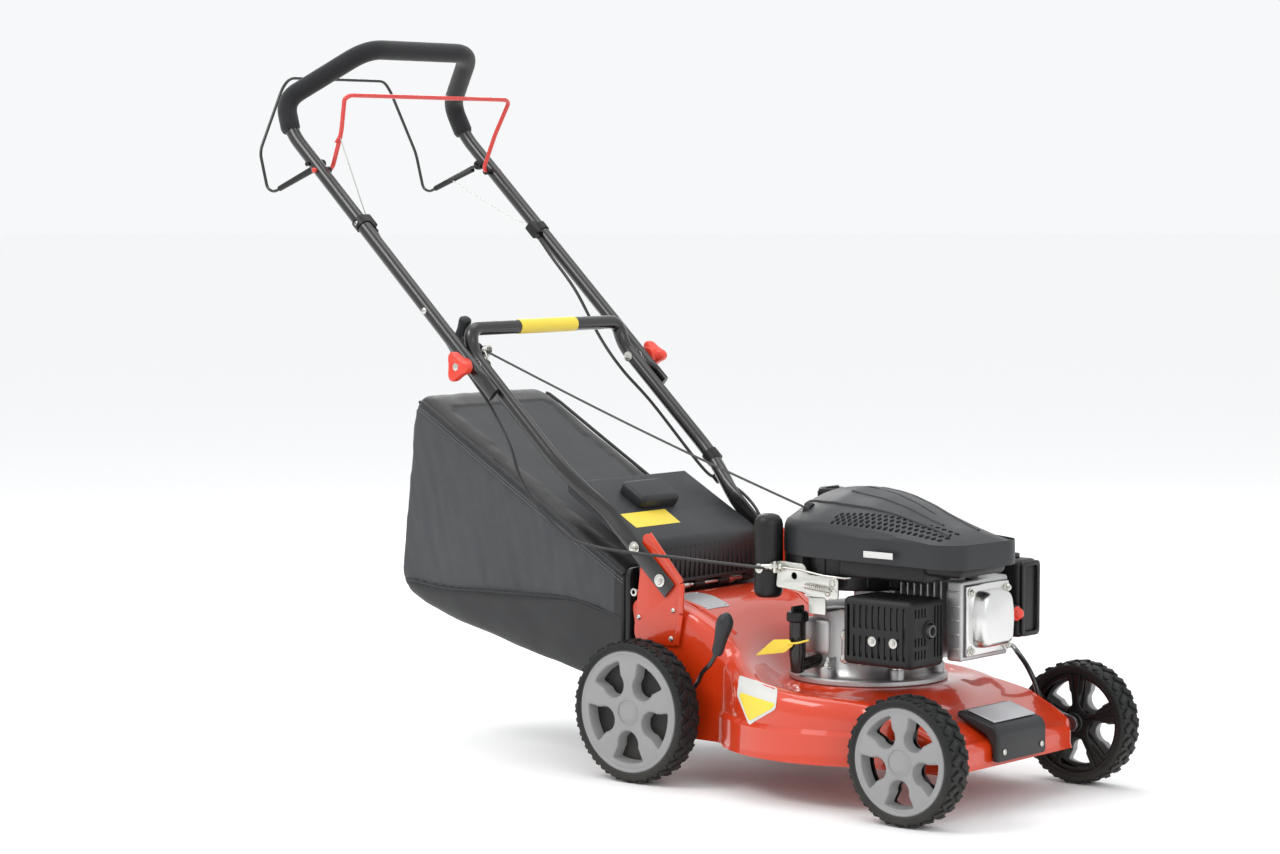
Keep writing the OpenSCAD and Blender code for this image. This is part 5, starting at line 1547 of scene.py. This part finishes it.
def build_bag():
    rings = [bag_ring(t) for t in [k / 56 for k in range(57)]]
    for grow, back in ((3, 2.0), (8, 5), (16, 8), (30, 10.5), (50, 12), (75, 13), (100, 13.5), (120, 14)):
        rings.append(bag_ring(1.0, grow, back))
    skin = loft(rings)
    pick(skin)
    bpy.ops.object.mode_set(mode="EDIT")
    bpy.ops.mesh.select_all(action="DESELECT")
    bpy.ops.object.mode_set(mode="OBJECT")
    bpy.ops.object.mode_set(mode="EDIT")
    bpy.ops.mesh.select_mode(type="VERT")
    bpy.ops.mesh.select_non_manifold(extend=False)
    bpy.ops.object.mode_set(mode="OBJECT")
    for v in skin.data.vertices:
        v.select = v.select and v.co.x < at(-700, 0, 0).x
    bpy.ops.object.mode_set(mode="EDIT")
    bpy.ops.mesh.edge_face_add()
    bpy.ops.mesh.select_all(action="SELECT")
    bpy.ops.mesh.normals_make_consistent(inside=False)
    bpy.ops.object.mode_set(mode="OBJECT")
    side = max(skin.data.polygons, key=lambda f: f.center.y)
    if side.normal.y < 0:
        bpy.ops.object.mode_set(mode="EDIT")
        bpy.ops.mesh.flip_normals()
        bpy.ops.object.mode_set(mode="OBJECT")
    modify(skin, "SUBSURF", levels=1, render_levels=1)
    normals = [v.normal.copy() for v in skin.data.vertices]
    for v, n in zip(skin.data.vertices, normals):
        x, y, z = (v.co.x - AXLE_X) / MM, v.co.y / MM, v.co.z / MM
        inside = smooth((-561 - x) / 60)
        edge = 1.0
        if abs(n.y) > 0.7:
            t = max(0.0, min(1.0, (-561 - x) / 430))
            top, low = ramp(-x, [(-a, b) for a, b in BAG_TOP]), ramp(-x, [(-a, b) for a, b in BAG_LOW])
            f = (z - low) / max(1.0, top - low)
            edge = smooth(f / 0.12) * smooth((1 - f) / 0.1)
            seam = ramp(-x, [(569, 231), (667, 252), (923, 248), (1012, 255)])
            crease = math.exp(-((z - seam) / 5) ** 2)
            upper = z > seam
            fold = size("bag_folds") * noise.noise(Vector((x / 95 + z / 160, 3 + y / 300, z / 60 - x / 300)))
            fine = (2.0 if upper else 1.1) * noise.noise(Vector((x / 34, 9, z / 26)))
            down = 1.6 * noise.noise(Vector((x / 14 + z / 50, 5, z / 120))) if upper else 0
            push = (fold + fine + down) * edge - 3.0 * crease
        elif n.z > 0.4:
            edge = smooth((150 - abs(y)) / 30)
            broad = noise.noise(Vector((x / 90, y / 70, 1)))
            push = (2.2 * broad + 0.9 * noise.noise(Vector((x / 30, y / 28, 4)))) * edge
            if abs(y) < 112 and x > -950:
                push -= 1.4
        else:
            push = 2.0 * noise.noise(Vector((x / 60, y / 70, z / 70)))
        v.co += n * push * inside * MM
    modify(skin, "SOLIDIFY", thickness=2.2 * MM, offset=-1)
    skin.data.materials.clear()
    for key in ("mesh cloth", "plain cloth", "hem cloth"):
        skin.data.materials.append(look(key))
    for f in skin.data.polygons:
        x, y, z = (f.center.x - AXLE_X) / MM, abs(f.center.y / MM), f.center.z / MM
        seam = ramp(-x, [(569, 231), (667, 252), (923, 248), (1012, 255)])
        if x > -584:
            f.material_index = 2
        elif abs(f.normal.y) > 0.6:
            f.material_index = 0 if z > seam else 1
        elif f.normal.z > 0.3:
            f.material_index = 0 if y < 108 and x > -948 else 2
        else:
            f.material_index = 1
        if x < -1000 and abs(f.normal.x) > 0.7:
            f.material_index = 0 if z > 262 and y < 128 else 1
    pick(skin)
    bpy.ops.object.shade_smooth()
    parts = [skin]
    for y in (-1, 1):
        for offset, r, key in ((0, 2.8, "hem cloth"), (9, 0.9, "stitch"), (14, 0.9, "stitch")):
            path = []
            for k in range(2, 201):
                t = k / 200 * 0.985
                top, low = run_along(BAG_TOP, t), run_along(BAG_LOW, t)
                up = (top - low).normalized()
                mid_h = 8.0 if offset == 0 else 4.5 - 0.2 * offset
                p = top - up * (mid_h if offset == 0 else offset + 8)
                path.append((p.x, y * (148.5 if offset == 0 else 149.5 + 2 * math.sin(math.pi * t)), p.y))
            sizes = None if offset == 0 else [1 if k % 3 else 0.3 for k in range(len(path))]
            parts.append(paint(tube(path, r, 3, sizes), look(key), 60))
        seam = [(-572, 231), (-620, 243), (-667, 252), (-760, 252), (-850, 250), (-923, 248), (-1008, 255)]
        path = [(p.x, y * (148 + 5 * math.sin(math.pi * (-561 - p.x) / 450)), p.z)
                for p in flow([(a, 0, b) for a, b in seam], 26)]
        parts.append(paint(tube(path, 1.6, 3), look("hem cloth"), 60))
        low, high = run_along(BAG_LOW, 1), run_along(BAG_TOP, 1)
        rear_edge = [low + (high - low) * k / 40 for k in range(3, 38)]
        parts.append(paint(tube([(p.x - 2.5, y * 140, p.y) for p in rear_edge], 2.6, 3), look("hem cloth"), 60))
    place("bag_cloth", parts, "bag", "bag_cloth", "bag_shell")
    outer = arc_poly([(-150, 146), (150, 146), (150, 306), (-150, 306)], 16)
    inner = arc_poly([(-138, 158), (138, 158), (138, 252), (-138, 252)], 10)
    frame_ = plate([outer, inner], 9, FRONT, (-556.5, 0, 0), 1.8)
    bits = [frame_]
    for y in (-1, 1):
        bits.append(block((-562, y * 112 - 9, 292), (-551.5, y * 112 + 9, 311), 2))
    place("bag_frame", [paint(p, look("black plastic")) for p in bits], "bag", "black_plastic", "bag_frame")


# ---------------------------------------------------------------- wheels and axles


def hole_outline(r, turn, grow=0.0):
    """A wheel opening with a round inner end that widens to an arc beside the rim."""
    mid, end = 0.450 * r, 0.195 * r + grow
    pts = [(mid - end * math.cos(a), end * math.sin(a)) for a in (math.radians(10 * k) for k in range(-10, 11))]
    outer, half = 0.725 * r + grow, math.radians(23) + grow / (0.7 * r)
    arc = [(0.965 * outer, half)] + [(outer, half * 0.93 * k / 3) for k in range(3, -4, -1)] + [(0.965 * outer, -half)]
    pts += [(rad * math.cos(b), rad * math.sin(b)) for rad, b in arc]
    turn = math.radians(turn)
    return [(u * math.cos(turn) - v * math.sin(turn), u * math.sin(turn) + v * math.cos(turn)) for u, v in pts]


def build_wheel(name, centre_x, r, face, closed):
    """One wheel on the right; its twin on the left is its mirror image."""
    base = Vector((centre_x, -face, r))
    axis = (0, 1, 0)
    w = WHEEL_W
    carcass = lathe([(r - 14, 4), (r - 13, 1.4), (r - 11, 0.4), (r - 8, 0.3), (r - 5.6, 1.2), (r - 4.2, 3), (r - 3.6, 7),
                     (r - 3.4, w / 2 - 2), (r - 4.4, w / 2), (r - 3.4, w / 2 + 2), (r - 3.6, w - 7), (r - 4.2, w - 3),
                     (r - 5.6, w - 1.2), (r - 8, w - 0.3), (r - 11, w - 0.4), (r - 13, w - 1.4), (r - 14, w - 4),
                     (r - 14, 4)], base, axis, 96)
    lugs = []
    count = bpy.context.scene.mower_sizes.lugs + (0 if r < 95 else 4)
    tall = block((-4.6, -8.5, -3.6), (4.6, 8.5, 0), 1.1, 2)
    tall.matrix_world = Matrix.Translation(-at(0, 0, 0)) @ tall.matrix_world
    settle(tall)
    short = block((-3.4, -3.4, -7.0), (3.4, 3.4, 0), 1.0, 2)
    short.matrix_world = Matrix.Translation(-at(0, 0, 0)) @ short.matrix_world
    settle(short)
    for k in range(count):
        for row, (h, tilt) in enumerate(((12.2, 32), (w - 12.2, -32))):
            a = 360 * (k + 0.5 * row) / count
            spin = Matrix.Translation(at(*base)) @ Matrix.Rotation(math.radians(a), 4, "Y")
            lugs.append(copy_of(tall, spin @ Matrix.Translation((0, h * MM, (r - 0.35) * MM))
                                @ Matrix.Rotation(math.radians(tilt), 4, "Z")))
            edge = 5.4 if row == 0 else w - 5.4
            half = 180 / count
            spin = Matrix.Translation(at(*base)) @ Matrix.Rotation(math.radians(a + half * 0.9), 4, "Y")
            lugs.append(copy_of(short, spin @ Matrix.Translation((0, edge * MM, (r - 2.2) * MM))))
    for shape in (tall, short):
        bpy.data.objects.remove(shape, do_unlink=True)
    tyre = gather("tyre", [carcass] + lugs)
    tyre = paint(tyre, look("tread"), 40)
    rim_edge = lathe([(r - 15, 5), (r - 13.2, 3.5), (r - 13.2, 1.8), (r - 16, 2.2), (r - 17, 5)], base, axis, 96)
    tyre_parts = [tyre, paint(rim_edge, look("dark plastic"), 40)]
    # grey outer cover with deep openings
    rings = [[(u, v) for u, v in circle_loop(0, 0, r - 15.4, 96)]]
    holes = [hole_outline(r, 54 + 72 * k) for k in range(5)]
    face_plate = plate(rings + holes, 5, SIDE, (centre_x, -face + 4.3, r), 1.5)
    cover = [face_plate]
    for k in range(5):
        depth = 17
        walls = []
        for h, grow in ((2.6, 0.0), (5, -0.6), (12, -1.8), (depth + 2, -3.2)):
            walls.append([(centre_x + u, -face + h, r + v) for u, v in hole_outline(r, 54 + 72 * k, grow)])
        well = loft(walls)
        modify(well, "SOLIDIFY", thickness=1.8 * MM, offset=0)
        cover.append(well)
    cover.append(lathe([(r - 21, 1.9), (r - 19.5, 0.7), (r - 17, 0.6), (r - 15.6, 2.2), (r - 15.4, 6), (r - 21, 6)],
                       base, axis, 96))
    cover.append(lathe([(0, 0.7), (9, 0.8), (15, 1.6), (17, 3), (0, 3)], base, axis, 64))
    cover.append(lathe([(17.6, 1.2), (18.6, 0.8), (19.6, 1.4), (19.6, 3), (17.6, 3)], base, axis, 64))
    cover = [paint(p, look("grey plastic"), 40) for p in cover]
    # black inner half
    inner = [lathe([(r - 18, 8), (r - 14, 8), (r - 14, w - 5), (r - 13.4, w - 2.4), (r - 16, w - 2), (r - 18, w - 5)],
                   base, axis, 96)]
    hub = lathe([(6.4, 9), (13, 9), (15, 12), (15, w - 4), (13.5, w - 2), (6.4, w - 2)], base, axis, 48)
    inner.append(hub)
    if closed:
        inner.append(lathe([(14, 19.6), (r - 16, 19.6), (r - 16, 22.6), (14, 22.6)], base, axis, 96))
        for k in range(10):
            inner.append(spoke(base, 36 * k + 18, 14, 0.44 * r, 22, w - 8, 3))
        inner.append(lathe([(0.44 * r, 22), (0.44 * r + 3, 22), (0.44 * r + 3, w - 9), (0.44 * r, w - 9)], base, axis,
                           72))
    else:
        outline = [circle_loop(0, 0, r - 16, 72), circle_loop(0, 0, 8, 24)]
        outline += [hole_outline(r, 54 + 72 * k, 1.0) for k in range(5)]
        inner.append(plate(outline, 3, SIDE, (centre_x, -face + w - 10, r), 0.8))
        for k in range(5):
            for d in (-6, 6):
                inner.append(spoke(base, 18 + 72 * k + d, 14, r - 17, 20, w - 5, 2.4))
    inner = [paint(p, look("black plastic")) for p in inner]
    cap = rod(base + Vector((0, w - 2, 0)), base + Vector((0, w - 1.2, 0)), 9, 0.3)
    inner.append(paint(cap, look("zinc")))
    side = "fr" if name == "front" else "rr"
    twin = "fl" if name == "front" else "rl"
    for label, parts, slot in (("tyre", tyre_parts, "tread"), ("cover", cover, "grey_plastic"),
                               ("rim", inner, "black_plastic")):
        obj = gather(label + "_" + side, parts)
        mirrored = copy_of(obj, MIRROR_Y)
        mirrored.name = mirrored.data.name = label + "_" + twin
        for piece, tag in ((obj, side), (mirrored, twin)):
            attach(piece, "wheel_" + tag)
            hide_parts(label + "_" + tag)


def spoke(base, angle, r0, r1, h0, h1, thick):
    bar = block((r0, h0, -thick / 2), (r1, h1, thick / 2), 0.7, 2)
    bar.matrix_world = Matrix.Translation(at(*base)) @ Matrix.Rotation(math.radians(-angle), 4, "Y") \
        @ Matrix.Translation(-at(0, 0, 0))
    return settle(bar)


def arm_plate(x0, z0, x1, z1, y):
    a = math.degrees(math.atan2(z1 - z0, x1 - x0))
    loop = [(x0 + 12 * math.cos(math.radians(a + 90 + 15 * k)), z0 + 12 * math.sin(math.radians(a + 90 + 15 * k)))
            for k in range(13)]
    loop += [(x1 + 12 * math.cos(math.radians(a - 90 + 15 * k)), z1 + 12 * math.sin(math.radians(a - 90 + 15 * k)))
             for k in range(13)]
    return plate([loop], 6, SIDE, (0, y, 0), 0.8)


def build_axles():
    fx, fz = -42, FRONT_R + 8
    front_in = FRONT_FACE - WHEEL_W
    y_arm = front_in - 7
    parts = [rod((fx, -y_arm - 4, fz), (fx, y_arm + 4, fz), 6)]
    for y in (-1, 1):
        parts.append(arm_plate(fx, fz, 0, FRONT_R, y * (y_arm + 3)))
        parts.append(rod((0, y * (y_arm + 2), FRONT_R), (0, y * (FRONT_FACE - 9), FRONT_R), 6, 0.8))
    place("front_axle", [paint(p, look("steel")) for p in parts], "front_axle_body", "zinc", "front_axle")
    rod_ = tube(bend([(fx - 3, y_arm - 4, fz + 6), (-54, y_arm - 4, 140), (-72, y_arm - 4, 170), (-96, y_arm + 4, 188),
                      (-124, y_arm + 36, 190), (-152, y_arm + 38, 190)], 14), 4, 5)
    boss = rod((fx, y_arm - 6, fz), (fx, y_arm, fz), 13, 1.2)
    grip = tube([(-150 - 42 * k / 12, y_arm + 38, 190 + 4 * k / 12) for k in range(13)], 9, 6,
                [0.7, 0.86, 0.9, 0.86, 0.84, 0.86, 0.92, 0.98, 1, 1, 0.97, 0.86, 0.55])
    place("front_lever", [paint(rod_, look("black paint"), 60), paint(boss, look("black paint")),
                          paint(grip, look("dark plastic"), 60)], "front_axle_body", "black_paint", "front_lever")
    rx, rz = -WHEELBASE + 55, REAR_R + 7
    rear_in = REAR_FACE - WHEEL_W
    y_arm = rear_in - 9
    parts = [rod((-WHEELBASE, -REAR_FACE + 9, REAR_R), (-WHEELBASE, REAR_FACE - 9, REAR_R), 6, 0.8)]
    for y in (-1, 1):
        parts.append(arm_plate(rx, rz, -WHEELBASE, REAR_R, y * (y_arm + 3)))
    place("rear_axle", [paint(p, look("steel")) for p in parts], "rear_axle_body", "zinc", "rear_axle")
    rod_ = tube(bend([(rx + 5, -y_arm + 3.6, rz + 8), (-412, -y_arm + 2, 150), (-385, -185, 172), (-361, -196, 186),
                      (-348, -196, 208)], 14), 3.5, 5)
    boss = rod((rx, -y_arm, rz), (rx, -y_arm + 6, rz), 14, 1.2)
    top = Vector((-334, -196, 252))
    low = Vector((-350, -196, 201))
    grip = tube([low + (top - low) * (k / 16 * 1.2) for k in range(17)], 12.5, 8,
                [0.5, 0.66, 0.7, 0.7, 0.71, 0.73, 0.76, 0.8, 0.85, 0.9, 0.95, 0.99, 1.0, 0.97, 0.87, 0.65, 0.3])
    place("rear_lever", [paint(rod_, look("black paint"), 60), paint(boss, look("black paint")),
                         paint(grip, look("dark plastic"), 60)], "rear_axle_body", "dark_plastic", "rear_lever")


KEPT = {"crankshaft": "steel", "flywheel": "iron", "blade": "steel", "blade_bolt": "zinc", "gearbox": "cast",
        "drive_shaft": "zinc"}


def dress_kept():
    """Better finishes for the machined pieces that keep their own shapes."""
    for name, key in KEPT.items():
        obj = bpy.data.objects[name]
        if not obj.material_slots:
            obj.data.materials.append(look(key))
        for slot in obj.material_slots:
            slot.material = look(key)


# ---------------------------------------------------------------- stage


def build_stage():
    view = bpy.context.scene.mower_stage
    deselect()
    # a wide flat floor under an even sky, open on every side
    rows = [[tuple((Vector((u, v, 0)) - at(0, 0, 0)) / MM) for u in (-60, -3, 3, 60)] for v in (-60, -3, 3, 60)]
    floor = loft(rows, closed_ring=False)
    mat = finish("Pale Paper Floor", (0.98, 0.98, 0.98), 0.7, grain=120.0, bump=0.02, mottle=0.01, marks=0.0, dust=0.0,
                 rough_swing=0.02, specular=0.2)
    paint(floor, mat, 60)
    face_up(floor)
    floor.name = "floor"
    place_ = Vector((AXLE_X + 2.5854, -3.8584, 0.8710))
    bpy.ops.object.camera_add(location=place_, rotation=(math.radians(90 - 4.183), 0, math.radians(40.054)))
    camera = bpy.context.object
    camera.name = "camera"
    camera.data.lens = view.lens
    camera.data.sensor_width = 36
    camera.data.clip_end = 60
    bpy.context.scene.camera = camera
    # each lamp's name, place, width, watts and colour
    for name, place_, width, power, colour in (
        ("key", (-0.9, -2.3, 3.1), 1.8, 46, (1.0, 0.99, 0.97)),
        ("fill", (3.2, -1.4, 1.9), 2.4, 22, (0.97, 0.98, 1.0)),
        ("top", (-0.3, 0.5, 3.6), 2.8, 30, (1, 1, 1)),
        ("rim", (-2.6, 2.0, 2.2), 1.6, 24, (1, 1, 1)),
    ):
        bpy.ops.object.light_add(type="AREA", location=place_)
        lamp = bpy.context.object
        lamp.name = name + "_light"
        lamp.data.shape = "RECTANGLE"
        lamp.data.size, lamp.data.size_y = width, width * 0.7
        lamp.data.energy = power * view.light
        lamp.data.color = colour
        aim = Vector((-0.1, 0, 0.4)) - Vector(place_)
        lamp.rotation_euler = aim.to_track_quat("-Z", "Y").to_euler()
    world = bpy.context.scene.world or bpy.data.worlds.new("Studio Air")
    bpy.context.scene.world = world
    world.use_nodes = True
    shade = world.node_tree.nodes.get("Background") or world.node_tree.nodes.new("ShaderNodeBackground")
    shade.inputs["Color"].default_value = (0.98, 0.99, 1.0, 1.0)
    shade.inputs["Strength"].default_value = 0.95
    bpy.context.scene.view_settings.view_transform = "Standard"


# ---------------------------------------------------------------- add-on


class MowerColours(bpy.types.PropertyGroup):
    deck_red: FloatVectorProperty(name="Deck Enamel", description="Colour of the painted steel deck", subtype="COLOR",
                                  default=(0.60, 0.036, 0.003), min=0, max=1)
    plastic_grey: FloatVectorProperty(name="Wheel Grey", description="Colour of the wheel covers", subtype="COLOR",
                                      default=(0.27, 0.27, 0.275), min=0, max=1)
    label_yellow: FloatVectorProperty(name="Blank Labels", description="Colour of the blank labels", subtype="COLOR",
                                      default=(0.85, 0.64, 0.06), min=0, max=1)


class MowerSizes(bpy.types.PropertyGroup):
    deck_steel: FloatProperty(name="Deck Steel", description="Thickness of the pressed deck", unit="LENGTH",
                              default=0.003, min=0.001, max=0.006)
    foam_width: FloatProperty(name="Foam Grip", description="Outside width of the foam grip", unit="LENGTH",
                              default=0.031, min=0.026, max=0.05)
    cable_width: FloatProperty(name="Cables", description="Outside width of the control cables", unit="LENGTH",
                               default=0.005, min=0.003, max=0.008)
    rope_width: FloatProperty(name="Starter Rope", description="Width of the starter rope", unit="LENGTH",
                              default=0.0034, min=0.002, max=0.006)
    bag_folds: FloatProperty(name="Bag Folds", description="Depth of the slack folds in the bag", unit="LENGTH",
                             default=0.005, min=0, max=0.012)
    lugs: IntProperty(name="Tread Lugs", description="Number of lugs round a front tyre", default=26, min=12, max=48)


class MowerStage(bpy.types.PropertyGroup):
    lens: FloatProperty(name="Lens", description="Focal length of the camera in millimetres", default=92.9, min=20,
                        max=200)
    light: FloatProperty(name="Light", description="Strength of the studio lamps", subtype="FACTOR", default=1.0, min=0,
                         max=4)


def maker(idname, label, text, *steps):
    """An operator that runs the named building steps."""

    def execute(self, context):
        for step in steps:
            step()
        return {"FINISHED"}

    return type("MOWER_OT_" + idname, (bpy.types.Operator,),
                {"bl_idname": "mower." + idname, "bl_label": label, "__doc__": text, "execute": execute,
                 "bl_options": {"REGISTER", "UNDO"}})


MAKERS = [
    maker("stage", "Stage", "Adds the floor, the lamps and the camera", build_stage),
    maker("deck", "Deck", "Presses the steel deck with its brackets and labels", build_deck),
    maker("nose", "Carry Handle", "Moulds the front carry handle", build_nose),
    maker("hinge", "Flap Hinge", "Adds the hinge rod and its spring", build_hinge),
    maker("crankcase", "Crankcase", "Casts the crankcase, cylinder and valve cover", build_crankcase,
          build_valve_cover),
    maker("muffler", "Muffler", "Builds the muffler and its slotted guard", build_muffler),
    maker("shroud", "Engine Shroud", "Moulds the shroud, fan housing and fuel tank", build_shroud, build_fan_housing,
          build_tank),
    maker("intake", "Intake", "Adds the air filter, carburettor and plug lead", build_intake),
    maker("oil", "Oil Filler", "Adds the oil filler and the vapour canister", build_oil),
    maker("brake", "Engine Brake", "Adds the brake bracket with its spring and rod", build_brake_bracket),
    maker("lower_handle", "Lower Handle", "Bends the lower handle and its rope guide", build_lower_handle),
    maker("upper_handle", "Upper Handle", "Bends the upper handle with its foam grip", build_upper_handle),
    maker("knobs", "Knobs", "Moulds the two folding knobs", build_knobs),
    maker("bails", "Bails", "Bends the stop bail and the drive bail", build_bails),
    maker("starter", "Starter", "Adds the pull grip, the rope and its drum", build_starter),
    maker("cables", "Cables", "Runs the brake and drive cables", build_cables),
    maker("flap", "Rear Flap", "Moulds the ribbed rear flap", build_flap),
    maker("bag", "Grass Bag", "Sews the grass bag on its mouth frame", build_bag),
    maker("wheels", "Wheels", "Moulds the four wheels",
          lambda: build_wheel("front", 0, FRONT_R, FRONT_FACE, False),
          lambda: build_wheel("rear", -WHEELBASE, REAR_R, REAR_FACE, True)),
    maker("axles", "Axles", "Adds the axles, arms and height levers", build_axles),
    maker("kept", "Machined Pieces", "Finishes the crankshaft, blade and gearbox", dress_kept),
]


class MOWER_PT_panel(bpy.types.Panel):
    """Lists the building steps."""

    bl_label = "Push Lawn Mower"
    bl_idname = "MOWER_PT_panel"
    bl_space_type = "VIEW_3D"
    bl_region_type = "UI"
    bl_category = "Mower"

    def draw(self, context):
        layout = self.layout
        for group in (context.scene.mower_sizes, context.scene.mower_colours, context.scene.mower_stage):
            for key in group.__annotations__:
                layout.prop(group, key)
        for step in MAKERS:
            layout.operator(step.bl_idname)


CLASSES = [MowerSizes, MowerColours, MowerStage, *MAKERS, MOWER_PT_panel]


def register():
    for cls in CLASSES:
        bpy.utils.register_class(cls)
    bpy.types.Scene.mower_sizes = PointerProperty(type=MowerSizes)
    bpy.types.Scene.mower_colours = PointerProperty(type=MowerColours)
    bpy.types.Scene.mower_stage = PointerProperty(type=MowerStage)


def unregister():
    del bpy.types.Scene.mower_stage
    del bpy.types.Scene.mower_colours
    del bpy.types.Scene.mower_sizes
    for cls in reversed(CLASSES):
        bpy.utils.unregister_class(cls)


def main():
    register()
    for step in MAKERS:
        group, name = step.bl_idname.split(".")
        getattr(getattr(bpy.ops, group), name)()


if __name__ == "__main__":
    main()
